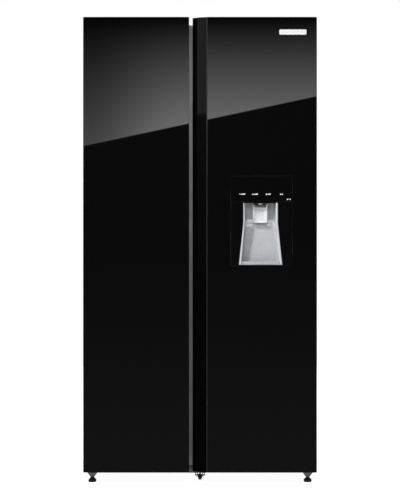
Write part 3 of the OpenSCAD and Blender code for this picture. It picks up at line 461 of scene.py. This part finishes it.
# %% The edge-rounding stack
def shade_by_angle():
    """A node group: smooth faces, with sharp edges where they turn by more than 30 degrees."""
    group = bpy.data.node_groups.new("shade_by_angle", "GeometryNodeTree")
    group.interface.new_socket("Geometry", in_out="INPUT", socket_type="NodeSocketGeometry")
    group.interface.new_socket("Geometry", in_out="OUTPUT", socket_type="NodeSocketGeometry")
    bench = Bench(group)
    shape = bench.node("NodeGroupInput")
    plain = bench.node("GeometryNodeRemoveAttribute", {}, {"Geometry": shape, "Name": "custom_normal"})
    smooth = bench.node("GeometryNodeSetShadeSmooth", {"domain": "FACE"}, {0: plain, 2: True})
    turn = bench.node("GeometryNodeInputMeshEdgeAngle")
    sharp = bench.node(
        "FunctionNodeCompare", {"operation": "GREATER_THAN"}, {0: turn, 1: math.radians(30)}
    )
    bench.node("NodeGroupOutput", {}, {0: bench.node(
        "GeometryNodeSetShadeSmooth", {"domain": "EDGE"}, {0: smooth, 1: sharp, 2: False}
    )})
    return group


by_angle = shade_by_angle()


def round_edges(part, width):
    """Rounds a part's edges by width metres, or only shades it if width is 0."""
    weld = part.modifiers.new("weld", "WELD")
    weld.merge_threshold = SAME_POINT
    if width:
        flatten = part.modifiers.new("flatten", "DECIMATE")
        flatten.decimate_type = "DISSOLVE"
        flatten.angle_limit = math.radians(0.4)
        bevel = part.modifiers.new("bevel", "BEVEL")
        bevel.width = width
        bevel.segments = 2
        bevel.limit_method = "ANGLE"
        bevel.angle_limit = math.radians(40)
    part.modifiers.new("shade", "NODES").node_group = by_angle
    flat = part.modifiers.new("flat", "WEIGHTED_NORMAL")
    flat.keep_sharp = True
    flat.weight = 100


# %% Each CAD part gets its slot's finish and its own edge radius, in millimetres
edge_radius = {
    "side_panels": 0.4, "top_panel": 0.4, "machine_cover": 0.5, "front_frame": 0.3,
    "freezer_door_glass": 0.7, "fridge_door_glass": 0.7, "control_panel": 0.5,
    "dispenser_bezel": 1.0, "freezer_door_frame": 0.8, "fridge_door_frame": 0.8,
    "freezer_grip_profile": 0.8, "fridge_grip_profile": 0.8, "hinge_covers": 1.5,
    "top_hinges": 0.6, "bottom_brackets": 0.5, "centre_bracket": 0.4, "base_frame": 0.4,
    "freezer_liner": 0.6, "fridge_liner": 0.6, "glass_shelves": 0.7, "shelf_trims": 0.3,
    "freezer_duct_cover": 0.8, "fridge_duct_cover": 0.8, "lamp_covers": 0.8,
    "freezer_door_liner": 0.8, "fridge_door_liner": 0.8, "badge_plate": 0.2,
    "dispenser_niche": 0.9, "drip_tray": 0.6, "tank_lid": 0.5, "dairy_flap": 0.5,
    "freezer_drawer_upper": 0.7, "freezer_drawer_lower": 0.7, "crisper_upper": 0.7,
    "crisper_lower": 0.7, "roller_left": 0.5, "roller_right": 0.5,
}

for subpart in frame["record"]["subparts"]:
    part = frame["nodes"][subpart["node"]]
    part.data.materials.clear()
    part.data.materials.append(finishes[subpart["material_slot"]])
    round_edges(part, edge_radius.get(subpart["node"], 0) * MM)
print(len(frame["nodes"]), "parts finished,", len(edge_radius), "with rounded edges")

# %% [markdown]
# ## Tools for new pieces
# Every new piece is a skin over a row of rings: a turned part has circles, a seal has its cross
# section at each corner, and a plate has its outline twice. One function builds the skin, and
# one more gives the piece its finish, its body and the CAD part that it stands for.

# %% Skins, plates and turned parts
def skin(rings, loop=False):
    """A closed bmesh over rings of points, each ring with the same number of points."""
    shape = bmesh.new()
    rows = [[shape.verts.new(point) for point in ring] for ring in rings]
    for first, second in zip(rows, rows[1:] + rows[:1] if loop else rows[1:]):
        for i in range(len(first)):
            j = (i + 1) % len(first)
            shape.faces.new((first[i], first[j], second[j], second[i]))
    if not loop:
        shape.faces.new(rows[0])
        shape.faces.new(rows[-1])
    bmesh.ops.recalc_face_normals(shape, faces=shape.faces)
    return shape


def plate(outline, front, back):
    """An (x, z) outline made solid between two depths."""
    return skin([[(x, y, z) for x, z in outline] for y in (front, back)])


def turned(steps, place, sides=48, reach=None):
    """A part turned about local Z. steps are (radius, height), and reach(angle, radius, height)
    gives another radius at an angle, for a thread, a flat or a notch."""
    reach = reach or (lambda angle, radius, height: radius)
    rings = []
    for radius, height in steps:
        ring = []
        for i in range(sides):
            angle = 2 * math.pi * i / sides
            r = reach(angle, radius, height)
            ring.append(place @ Vector((r * math.cos(angle), r * math.sin(angle), height)))
        rings.append(ring)
    return skin(rings)


def standing(centre, axis=(0, 0, 1)):
    """A place whose local Z is axis, at centre."""
    return Matrix.Translation(centre) @ Vector(axis).to_track_quat("Z", "X").to_matrix().to_4x4()


def piece(name, shapes, slot, body, stands_for=(), edge=0.0):
    """One piece from one or more shapes, in the finish of a slot and riding on a body."""
    whole = bmesh.new()
    for shape in shapes:
        part = bpy.data.meshes.new("part")
        shape.to_mesh(part)
        whole.from_mesh(part)
        shape.free()
        bpy.data.meshes.remove(part)
    mesh = bpy.data.meshes.new(name)
    whole.to_mesh(mesh)
    whole.free()
    mesh.materials.append(finishes[slot])
    made = bpy.data.objects.new(name, mesh)
    bpy.context.scene.collection.objects.link(made)
    round_edges(made, edge)
    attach(made, body)
    if stands_for:
        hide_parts(*stands_for)
    print("piece", name, "has", len(mesh.polygons), "faces")
    return made


def middle(low, high):
    return (low + high) / 2


# %% [markdown]
# ## Magnetic door seals
# A refrigerator's seal is an extruded vinyl bellows: a barbed foot in the door liner, two folds
# that let it stretch, and a flat chamber that holds the magnet strip. Four lengths are welded at
# mitred corners. The cross section is drawn once and carried round the rectangle.

# %% Bellows seals
def door_seal(name, body):
    """A seal in a gasket's box. The section is in shares of its width and depth, foot first."""
    low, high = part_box(name)
    width, depth = 11 * MM, high.y - low.y
    foot = [(0.84, 0.00), (0.84, 0.07), (0.62, 0.13), (0.66, 0.20), (0.90, 0.27), (0.92, 0.32)]
    folds = [(0.60, 0.42), (0.60, 0.47), (0.90, 0.56), (0.97, 0.62)]
    chamber = [(1.00, 0.72), (1.00, 0.92), (0.94, 1.00)]
    half = foot + folds + chamber
    section = half + [(1 - a, b) for a, b in reversed(half)]
    rings = []
    for x, z, right, up in ((low.x, low.z, 1, 1), (high.x, low.z, -1, 1),
                            (high.x, high.z, -1, -1), (low.x, high.z, 1, -1)):
        rings.append([(x + right * a * width, low.y + b * depth, z + up * a * width)
                      for a, b in section])
    piece(name.replace("gasket", "seal"), [skin(rings, loop=True)], "gasket_rubber", body, [name])


door_seal("freezer_door_gasket", "freezer_door")
door_seal("fridge_door_gasket", "fridge_door")

# %% [markdown]
# ## Screws
# The CAD holds each screw as a plain stud, all in one part. Their places are read back by
# finding the separate islands of that mesh. Each gets a domed pan head with a cross recess: the
# rings of the head change from a circle to a plus sign, which one formula gives.

# %% Find the separate solids of a CAD part
def islands(node):
    """The (low, high) corners of each separate solid of a CAD part."""
    shape = bmesh.new()
    shape.from_mesh(frame["nodes"][node].data)
    bmesh.ops.remove_doubles(shape, verts=shape.verts, dist=SAME_POINT)
    left = set(shape.verts)
    found = []
    while left:
        todo = [left.pop()]
        points = []
        while todo:
            here = todo.pop()
            points.append(here.co.copy())
            for edge in here.link_edges:
                other = edge.other_vert(here)
                if other in left:
                    left.remove(other)
                    todo.append(other)
        found.append([Vector([pick(p[k] for p in points) for k in range(3)]) for pick in (min, max)])
    shape.free()
    return sorted(found, key=lambda box: tuple(box[0]))


def plus_sign(arm, half):
    """The reach of a plus sign with arms of that length and half width, at an angle."""
    def reach(angle):
        turn = abs((angle + math.pi / 4) % (math.pi / 2) - math.pi / 4)
        return min(arm / math.cos(turn), half / max(math.sin(turn), 1e-6))
    return reach


def pan_head_screw(centre, axis, head_r, head_h, shank_r, shank):
    """A pan head above centre, along axis, with its shank below."""
    cross = plus_sign(0.55 * head_r, 0.14 * head_r)
    dome = [(head_r * math.cos(a), head_h * (0.35 + 0.65 * math.sin(a)))
            for a in (math.radians(t) for t in (0, 20, 38, 52))]
    steps = [(shank_r * 0.6, -shank), (shank_r, -shank * 0.8), (shank_r, 0), (head_r, 0)]
    steps += dome + [(-1, head_h * 0.93), (-0.8, head_h * 0.35)]

    def reach(angle, radius, height):
        return -radius * cross(angle) if radius < 0 else radius

    return turned(steps, standing(centre, axis), 48, reach)


# %% Screws of the top hinges and of the machine cover
screws = []
for low, high in islands("fasteners"):
    centre = middle(low, high)
    size = high - low
    on_cover = size.y < size.z
    if on_cover:
        head_h, shank_r, shank = size.y, 2 * MM, 0.9 * MM
        seat, axis = (centre.x, low.y, centre.z), (0, 1, 0)
    else:
        head_h, shank_r = 3 * MM, 2.6 * MM
        shank = size.z - head_h
        seat, axis = (centre.x, centre.y, high.z - head_h), (0, 0, 1)
    screws.append(pan_head_screw(seat, axis, size.x / 2, head_h, shank_r, shank))
print(len(screws), "screws")
piece("pan_head_screws", screws, "screw_steel", "root", ["fasteners"])

# %% [markdown]
# ## Levelling feet
# A corner foot is a nylon pad on a threaded stem. The pad has grip notches all round, for
# fingers or a spanner, and the stem's thread is a ridge that climbs by one pitch each turn, so
# the radius depends on the height less the angle.

# %% Feet with threads and notches
pitch = 1.5 * MM


def threaded(core, ridge):
    """The reach of a thread: a ridge that climbs by one pitch each turn."""
    def reach(angle, radius, height):
        turn = (height / pitch - angle / (2 * math.pi)) % 1
        return core + ridge * (1 - abs(2 * turn - 1))
    return reach


def notched(count, share):
    """The reach of a rim with that many notches, each a share of the radius deep."""
    def reach(angle, radius, height):
        return radius * (1 - share * max(0.0, math.cos(count * angle)) ** 4)
    return reach


def stem(centre, radius, bottom, top):
    ridge = 0.55 * MM
    rings_a_turn = 8
    count = round((top - bottom) / pitch * rings_a_turn)
    steps = [(radius, bottom + (top - bottom) * i / count) for i in range(count + 1)]
    return turned(steps, standing(centre), 32, threaded(radius - ridge, ridge))


def levelling_foot(name):
    low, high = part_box(name)
    centre = Vector((middle(low, high).x, middle(low, high).y, 0))
    pad = (high.x - low.x) / 2
    steps = [(pad - 5 * MM, 0), (pad - 3 * MM, 0.4 * MM), (pad - 1 * MM, 2 * MM), (pad, 4.5 * MM),
             (pad, 9 * MM), (pad - 0.7 * MM, 10.6 * MM), (pad - 2.4 * MM, 12 * MM),
             (9.0 * MM, 15.4 * MM), (8.0 * MM, 17 * MM), (7.8 * MM, 19.4 * MM), (7.0 * MM, 20 * MM)]
    body = turned(steps, standing(centre), 96, notched(16, 0.035))
    rod = stem(centre, 5 * MM, 19 * MM, high.z)
    piece(name + "_pad", [body, rod], "foot_plastic", name, [name])


def centre_foot(name):
    low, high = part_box(name)
    centre = Vector((middle(low, high).x, middle(low, high).y, 0))
    nut = (high.x - low.x) / 2
    tip = [(4.6 * MM, 0), (5.8 * MM, 0.6 * MM), (6.2 * MM, 1.8 * MM), (7.2 * MM, 7 * MM),
           (7.6 * MM, 7.4 * MM), (nut - 1 * MM, 10.6 * MM), (nut, 11.2 * MM), (nut, 19 * MM),
           (nut - 1 * MM, 20 * MM)]

    def hexagon(angle, radius, height):
        off_flat = (angle + math.pi / 6) % (math.pi / 3) - math.pi / 6
        return min(radius, 0.93 * nut / math.cos(off_flat))

    body = turned(tip, standing(centre), 96, hexagon)
    rod = stem(centre, 4 * MM, 19.5 * MM, high.z)
    piece(name + "_bolt", [body, rod], "foot_plastic", name, [name])


levelling_foot("foot_left")
levelling_foot("foot_right")
centre_foot("foot_centre")

# %% [markdown]
# ## Pressed beads of the back sheet
# A sheet half a millimetre thick would drum, so the press forms long shallow beads in it. Each
# bead is a low dome with round ends, standing proud of the flat sheet. A lens section drawn along
# a line gives it: the ends shrink on a quarter circle.

# %% Beads
sheet_low, sheet_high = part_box("back_panel")
sunk = 0.3 * MM


def bead(x0, x1, z0, z1, wide, proud):
    """A bead from one end to the other, whose section and ends are both round."""
    start, end = Vector((x0, 0, z0)), Vector((x1, 0, z1))
    along = (end - start).normalized()
    across = Vector((along.z, 0, -along.x))
    length = (end - start).length
    rings = []
    for i in range(9):
        a = math.pi / 2 * i / 8
        rings.append((wide / 2 * (1 - math.cos(a)), math.sin(a)))
    rings = rings + [(length - t, s) for t, s in reversed(rings)]
    skins = []
    for t, s in rings:
        share = max(s, 0.05)
        ring = []
        for k in range(9):
            b = math.pi * k / 8
            out = sheet_high.y - sunk + (proud + sunk) * share * math.sin(b)
            aside = across * (wide / 2 * share * math.cos(b))
            ring.append(start + along * t + aside + Vector((0, out, 0)))
        skins.append(ring)
    return skin(skins)


bead_foot, bead_top = sheet_low.z + 110 * MM, sheet_high.z - 90 * MM
apart = 45 * MM
reach_x = 385 * MM
columns = [-330, -110, 110, 330]
beads = [bead(x * MM, x * MM, bead_foot, bead_top, 26 * MM, 3 * MM) for x in columns]
beads += [bead(-reach_x, reach_x, z, z, 20 * MM, 2.4 * MM)
          for z in (bead_foot - apart, bead_top + apart)]
piece("back_beads", beads, "zinc_sheet", "root")

# %% [markdown]
# ## Centre bracket's upright
# The strap between the doors' feet is one folded strip: its upright stands just in front of the
# front rail and closes the view through the gap between the doors. A small radius at the fold is
# what a press brake leaves. The folded section is drawn once and drawn out along X.

# %% Upright flange of the centre bracket
strap_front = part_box("centre_bracket")[0].y
rail_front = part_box("base_frame")[0].y


def upright_flange():
    thick, fold = 1.6 * MM, 2 * MM
    front = strap_front + 1 * MM
    back = rail_front - 1.2 * MM
    foot, top = 30 * MM, 61 * MM
    left, right = -46 * MM, 27 * MM
    profile = [(back, top), (back, foot + thick + fold)]
    profile += [(back + fold * (1 - math.cos(a)), foot + thick + fold * (1 - math.sin(a)))
                for a in (0.5, 1.0, math.pi / 2)]
    profile += [(front, foot + thick), (front, foot)]
    profile += [(back + fold - (fold + thick) * math.sin(a), foot + (fold + thick) * (1 - math.cos(a)))
                for a in (0.0, 0.5, 1.0, math.pi / 2)]
    profile += [(back - thick, top)]
    return skin([[(x, y, z) for y, z in profile] for x in (left, right)])


piece("bracket_upright", [upright_flange()], "bracket_steel", "root", (), 0.3 * MM)

# %% [markdown]
# ## The dispenser's niche
# Two bright trims run down the sides of the niche's mouth. Each is a half round strip that
# follows the upright upper part and then the flare, and gets wider towards the foot. The bend
# between the two is a curve, so that its highlight flows. Above the mouth hangs the black front
# plate's own edge, a lip that hides the joint between plate and niche.

# %% Rim trims and top lip of the niche
niche_low, niche_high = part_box("dispenser_niche")
mouth_x = middle(niche_low, niche_high).x
mouth_foot = (niche_high.x - niche_low.x) / 2
mouth_top = 66 * MM
kink = niche_high.z - 80 * MM


def mouth_half(z):
    """Half the mouth's width at a height, with the kink rounded over 20 mm each way."""
    slope = (mouth_foot - mouth_top) / (kink - niche_low.z)
    soft = 20 * MM
    below = kink - z
    if below <= -soft:
        return mouth_top
    if below >= soft:
        return mouth_top + slope * below
    return mouth_top + slope * (below + soft) ** 2 / (4 * soft)


def rim_trim(side, width_top, width_foot):
    """The trim on the left, side -1, or the right, side 1, with its width at both ends."""
    top, foot = niche_high.z - 1 * MM, niche_low.z + 0.4 * MM
    front, back = niche_low.y - 0.1 * MM, niche_low.y + 3.4 * MM
    proud = 2.2 * MM
    count = 24
    rings = []
    for i in range(count + 1):
        z = top + (foot - top) * i / count
        width = width_top + (width_foot - width_top) * i / count
        outer = mouth_half(z) - 0.3 * MM
        ring = []
        for k in range(9):
            a = math.pi * k / 8
            inward = width * (1 - math.cos(a)) / 2
            ring.append((mouth_x + side * (outer - inward), front + proud * (1 - math.sin(a)), z))
        ring.append((mouth_x + side * (outer - width + 0.4 * MM), back, z))
        ring.append((mouth_x + side * outer, back, z))
        rings.append(ring)
    return skin(rings)


def mouth_lip():
    """The black front plate's own edge, which hangs over the top of the niche."""
    half = mouth_top - 0.5 * MM
    front, top = niche_low.y - 0.15 * MM, niche_high.z + 0.8 * MM
    profile = [(front + 4 * MM, top), (front + 4 * MM, top - 3.6 * MM), (front + 3 * MM, top - 5.0 * MM),
               (front + 0.6 * MM, top - 5.0 * MM), (front, top - 4.4 * MM), (front, top)]
    return skin([[(x, y, z) for y, z in profile] for x in (mouth_x - half, mouth_x + half)])


trims = [rim_trim(1, 7.0 * MM, 8.5 * MM), rim_trim(-1, 3.4 * MM, 8.5 * MM)]
piece("niche_lip", [mouth_lip()], "gloss_black", "fridge_door")
piece("niche_trims", trims, "paddle_silver", "fridge_door")

# %% [markdown]
# ## The paddle
# The glass is pushed against this lever. It is a shallow scoop between two cheeks that carry the
# cross pin, and its dish is a smooth hollow, which a machine drawing shows as a flat pocket. The
# dish is a grid of points whose depth is a product of two arches.

# %% Scoop, cheeks and pin
paddle_low, paddle_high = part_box("dispenser_paddle")
pin_r = 3 * MM
pin_y = paddle_high.y - pin_r
pin_z = paddle_high.z - pin_r
pin_out = 4 * MM
paddle_x = middle(paddle_low, paddle_high).x
paddle_half = (paddle_high.x - paddle_low.x) / 2 - pin_out
cheek_t = 4 * MM
foot_z = paddle_low.z
plate_top = pin_z - 12 * MM


def paddle_front(z):
    """How far in front of the pin the cheeks' front edge is at a height."""
    t = min(max((pin_z - z) / (pin_z - foot_z), 0), 1)
    return (3 + 7 * math.sin(min(t * 1.15, 1) * math.pi / 2)) * MM


def cheek(x0, x1):
    """A side wall between two x, round over the pin and round at its foot."""
    rounding = 3 * MM
    heights = [pin_z + pin_r * math.sin(a) for a in (1.4, 1.0, 0.5, 0)]
    heights += [pin_z - (pin_z - foot_z) * t for t in (0.15, 0.3, 0.5, 0.7, 0.85, 0.95, 1.0)]
    rings = []
    for z in heights:
        over = max(z - pin_z, 0)
        round_off = math.sqrt(max(pin_r ** 2 - over ** 2, 0))
        front = round_off if over else paddle_front(z)
        lift = max(0.0, foot_z + rounding - z)
        back = round_off if over else pin_r - 2 * lift / 3
        rings.append([(x0, pin_y - front + lift, z), (x1, pin_y - front + lift, z),
                      (x1, pin_y + back, z), (x0, pin_y + back, z)])
    return skin(rings)


def dish():
    """The hollow plate between the cheeks, deepest in the middle."""
    rows = 16
    deepest = 3.6 * MM
    half = paddle_half - cheek_t + 0.2 * MM
    dish_foot = foot_z + 1.0 * MM
    rings = []
    for i in range(rows + 1):
        v = i / rows
        z = plate_top + (dish_foot - plate_top) * v
        front, back = [], []
        for k in range(rows + 1):
            u = 2 * k / rows - 1
            x = paddle_x + u * half
            hollow = deepest * (1 - u ** 4) * math.sin(math.pi * min(v * 1.02, 1)) ** 0.7
            front.append((x, pin_y - paddle_front(z) + 0.6 * MM + hollow, z))
            back.append((x, pin_y + pin_r - 0.8 * MM, z))
        rings.append(front + back[::-1])
    return skin(rings)


left_cheek = cheek(paddle_x - paddle_half, paddle_x - paddle_half + cheek_t)
right_cheek = cheek(paddle_x + paddle_half - cheek_t, paddle_x + paddle_half)
piece("paddle", [left_cheek, right_cheek, dish()],
      "paddle_silver", "dispenser_paddle", ["dispenser_paddle"], 0.8 * MM)

pin_end_r, pin_bevel = 2.4 * MM, 0.6 * MM
pin_length = 2 * (paddle_half + pin_out)
pin_steps = [(pin_end_r, 0), (pin_r, pin_bevel), (pin_r, pin_length - pin_bevel), (pin_end_r, pin_length)]
piece("paddle_pin", [turned(pin_steps, standing((paddle_low.x, pin_y, pin_z), (1, 0, 0)), 32)],
      "black_plastic", "dispenser_paddle")

# %% [markdown]
# ## Marks on the control panel
# Touch keys sit behind the glass, and only their printed signs show. They are kept generic: a
# snowflake, a thermometer and a drop with level bars beside them, two short bars for the lock,
# and two dots with a bar between them for the lamp. Each is thin white ink, drawn as flat shapes
# about a tenth of a millimetre thick. The ink is given a faint painted glow, so the signs stay
# bright whatever light falls on them.

# %% Printed signs
def white_ink_painted_glow():
    # The emission is a painted glow: printed ink gives off no light of its own.
    ink = Finish("white_ink_painted_glow", {"Roughness": 0.5, "Emission Strength": 0.12})
    grain = ink.noise(0.3 * MM, 2)
    ink.feed({"Base Color": ink.blend(grain, tone(0.72), tone(0.86))})
    ink.feed({"Emission Color": ink.blend(grain, tone(0.8), tone(1.0))})
    keep(ink)


white_ink_painted_glow()
panel_low, panel_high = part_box("control_panel")
ink_front = panel_low.y - 0.12 * MM


def bar(x, z, wide, high, turn=0.0):
    c, s = math.cos(turn), math.sin(turn)
    corners = [(-wide, -high), (wide, -high), (wide, high), (-wide, high)]
    outline = [(x + (a * c - b * s) / 2, z + (a * s + b * c) / 2) for a, b in corners]
    return plate(outline, ink_front, panel_low.y)


def disc(x, z, r, tail=0.0):
    """A disc, or a drop if its top is pinched and drawn out by tail."""
    sides = 20
    pinch = 0.6 if tail else 0.0
    outline = []
    for i in range(sides):
        a = 2 * math.pi * i / sides
        upper = max(0, math.sin(a))
        wide = r * math.cos(a) * (1 - pinch * upper)
        outline.append((x + wide, z + r * math.sin(a) + tail * upper ** 3))
    return plate(outline, ink_front, panel_low.y)


def snowflake(x, z, r):
    return [bar(x, z, 2 * r, 0.22 * r, math.radians(t)) for t in (0, 60, 120)]


def levels(x, z, count, step, high):
    """A row of bars that grow from left to right."""
    bars = []
    for i in range(count):
        share = 0.55 + 0.45 * i / (count - 1)
        bars.append(bar(x + i * step, z - high * (1 - share) / 2, 0.66 * step, high * share))
    return bars


sign_z = panel_low.z + 28.5 * MM
sign_h = 5.2 * MM
bar_step = 3.2 * MM
lamp_z = panel_low.z + 8.5 * MM
panel_x = middle(panel_low, panel_high).x
signs = {
    "sign_freezer": snowflake(panel_x - 83.5 * MM, sign_z, 2.9 * MM)
    + levels(panel_x - 77.5 * MM, sign_z, 5, bar_step, sign_h),
    "sign_fridge": [disc(panel_x - 34 * MM, sign_z - 1.6 * MM, 1.7 * MM),
                    bar(panel_x - 34 * MM, sign_z + 0.6 * MM, 1.3 * MM, 4 * MM)]
    + levels(panel_x - 29 * MM, sign_z, 5, bar_step, sign_h),
    "sign_water": [disc(panel_x + 18 * MM, sign_z - 0.8 * MM, 1.9 * MM, tail=1.6 * MM)]
    + levels(panel_x + 23 * MM, sign_z, 4, bar_step, sign_h),
    "sign_lock": [bar(panel_x + 73 * MM, sign_z - 0.8 * MM, 4.4 * MM, 3.4 * MM),
                  bar(panel_x + 79 * MM, sign_z - 0.8 * MM, 4.6 * MM, 2.2 * MM)],
    "sign_lamp": [disc(panel_x + 98.5 * MM, lamp_z, 1.9 * MM),
                  bar(panel_x + 104 * MM, lamp_z, 4.4 * MM, 1.2 * MM),
                  disc(panel_x + 109.5 * MM, lamp_z, 1.8 * MM)],
}
for name, shapes in signs.items():
    sign = piece(name, shapes, "bright_silver", "fridge_door")
    sign.data.materials[0] = finishes["white_ink_painted_glow"]

# %% [markdown]
# ## Studio
# A black glass door is a mirror, so what it shows is the studio. A large card stands in front of
# the doors: dim at the top, brightest at its slanting lower edge, and almost black below it. A
# second card curves round to the left, where only the curved grip strip sees it. Both are hidden
# from the camera and give no light to matt parts, which the world and the lamps light instead.

# %% World: white to the camera, dim and graded to the mirrors, soft to matt parts
door_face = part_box("freezer_door_glass")[0].y
eye_away, eye_height = 5.317, 0.8956
eye = Vector((0.0, door_face - eye_away, eye_height))

world = bpy.data.worlds.new("studio")
bpy.context.scene.world = world
world.use_nodes = True
room = Bench(world.node_tree)
rearward, upward = room.split(room.node("ShaderNodeTexCoord", output=0))[1:]
wall, ceiling = upward.ramp(-0.08, 0.12), upward.ramp(0.2, 0.9)
mirror_tone = 0.008 + wall * 0.044 + ceiling * 0.14
mirror_tone = mirror_tone + rearward.ramp(0.05, 0.6) * 0.30
sees_mirror = room.node("ShaderNodeLightPath", output=3)
sees_camera = room.node("ShaderNodeLightPath", output=0)
matt_tone = 0.18
brightness = matt_tone + sees_mirror * (mirror_tone - matt_tone)
background = world.node_tree.nodes["Background"]
room.join(brightness + sees_camera * (1.0 - brightness), background.inputs["Strength"])
background.inputs["Color"].default_value = tone(1.0)


# %% Cards that the doors mirror
def card(name, rings, glow):
    """A sheet that gives off light to mirrors only. glow(x, z) is its brightness."""
    shape = bmesh.new()
    rows = [[shape.verts.new(point) for point in ring] for ring in rings]
    for first, second in zip(rows, rows[1:]):
        for i in range(len(first) - 1):
            shape.faces.new((first[i], first[i + 1], second[i + 1], second[i]))
    mesh = bpy.data.meshes.new(name)
    shape.to_mesh(mesh)
    shape.free()
    sheet = bpy.data.materials.new(name)
    sheet.use_nodes = True
    bench = Bench(sheet.node_tree)
    where = bench.split(bench.place())
    strength = glow(where[0], where[2])
    light = bench.node("ShaderNodeEmission", {}, {"Color": tone(1.0), "Strength": strength})
    bench.join(light, sheet.node_tree.nodes["Material Output"].inputs["Surface"])
    mesh.materials.append(sheet)
    made = bpy.data.objects.new(name, mesh)
    bpy.context.scene.collection.objects.link(made)
    made.visible_camera = False
    made.visible_diffuse = False
    made.visible_shadow = False
    made.visible_transmission = False


card_ahead = 1.155
spread = 1 + card_ahead / eye_away
glass_mirror = 0.04
half_doors = 0.446
edge_height, edge_climb = 1.294, 0.2135
faded_height, fade_length = 1.796, 0.3985
brightest = 0.13


def door_glow(x, z):
    """Brightness as the doors show it, worked out where the eye sees it on the doors."""
    across = x / spread
    height = (z - eye.z) / spread + eye.z
    slant = edge_height + (across + half_doors) * edge_climb
    above = (height - slant).ramp(-0.002, 0.002)
    below_top = (faded_height - height) / fade_length
    fall = below_top.maths("MAXIMUM", below_top, 0.0)
    left = 0.3 + 0.7 * (across + half_doors).ramp(0.0, 0.42)
    upper = fall ** 1.4 * brightest * left
    lower = 0.0022 + (1.0 - height).ramp(0.0, 1.0) * 0.0035
    return (lower + above * (upper - lower)) / glass_mirror


card_y = door_face - card_ahead
card_left, card_right = -0.545, 0.9
card_foot, card_top = -0.4, 3.2
card(
    "front_card",
    [[(x, card_y, z) for x in (card_left, card_right)] for z in (card_foot, card_top)],
    door_glow,
)

strip_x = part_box("fridge_grip_profile")[0].x
arc = [math.radians(24 + 4 * i) for i in range(16)]
arc_r = 1.43
arc_foot = 1.56
card(
    "side_card",
    [[(strip_x - arc_r * math.sin(a), door_face - arc_r * math.cos(a), z) for a in arc]
     for z in (arc_foot, card_top)],
    lambda x, z: 0.28 + (z - arc_foot) * 0.02,
)

# %% [markdown]
# ## Lamps, floor and camera
# One soft lamp upper left models the niche, and its silver walls mirror it. A weak one in front
# fills the gap between the doors, and a large one behind lights the back. Glossy parts don't
# mirror those two. The floor is a plain pale sheet.

# %% Lamps
def soft_lamp(name, at, towards, size, power, mirrored):
    """A square lamp, its side in metres and its power in watts. mirrored: glossy parts show it."""
    data = bpy.data.lights.new(name, "AREA")
    data.shape = "SQUARE"
    data.size = size
    data.energy = power
    lamp = bpy.data.objects.new(name, data)
    bpy.context.scene.collection.objects.link(lamp)
    lamp.location = at
    lamp.rotation_euler = (Vector(towards) - Vector(at)).to_track_quat("-Z", "Y").to_euler()
    lamp.visible_camera = False
    lamp.visible_glossy = mirrored


soft_lamp("key_lamp", (-1.45, -2.2, 3.0), (0.23, -0.3, 1.0), 0.55, 112, mirrored=True)
soft_lamp("gap_lamp", (-0.035, -1.8, 1.45), (-0.035, -0.3, 1.45), 0.5, 5.8, mirrored=False)
soft_lamp("back_lamp", (1.6, 3.2, 2.6), (0, 0.2, 0.9), 2.0, 70, mirrored=False)


# %% Floor
def studio_floor():
    pale = Finish("pale_floor", {"Roughness": 0.6, "Emission Strength": 0.92})
    cloud = pale.noise(0.9, 3)
    pale.feed({"Base Color": pale.blend(cloud, tone(0.86), tone(0.90))})
    pale.feed({"Emission Color": pale.blend(cloud, tone(0.96), tone(1.0))})
    pale.relief(pale.noise(4 * MM, 2), 0.05 * MM)
    shape = bmesh.new()
    bmesh.ops.create_grid(shape, x_segments=8, y_segments=8, size=5.0)
    mesh = bpy.data.meshes.new("floor")
    shape.to_mesh(mesh)
    shape.free()
    mesh.materials.append(pale.material)
    floor = bpy.data.objects.new("floor", mesh)
    bpy.context.scene.collection.objects.link(floor)
    floor.visible_glossy = False


studio_floor()

# %% Camera
camera_data = bpy.data.cameras.new("camera")
camera_data.lens = 100
camera_data.sensor_width = 36
camera = bpy.data.objects.new("camera", camera_data)
bpy.context.scene.collection.objects.link(camera)
camera.location = eye
camera.rotation_euler = (math.radians(90), 0, 0)
bpy.context.scene.camera = camera
bpy.context.scene.view_settings.view_transform = "Standard"
bpy.context.scene.view_settings.look = "None"
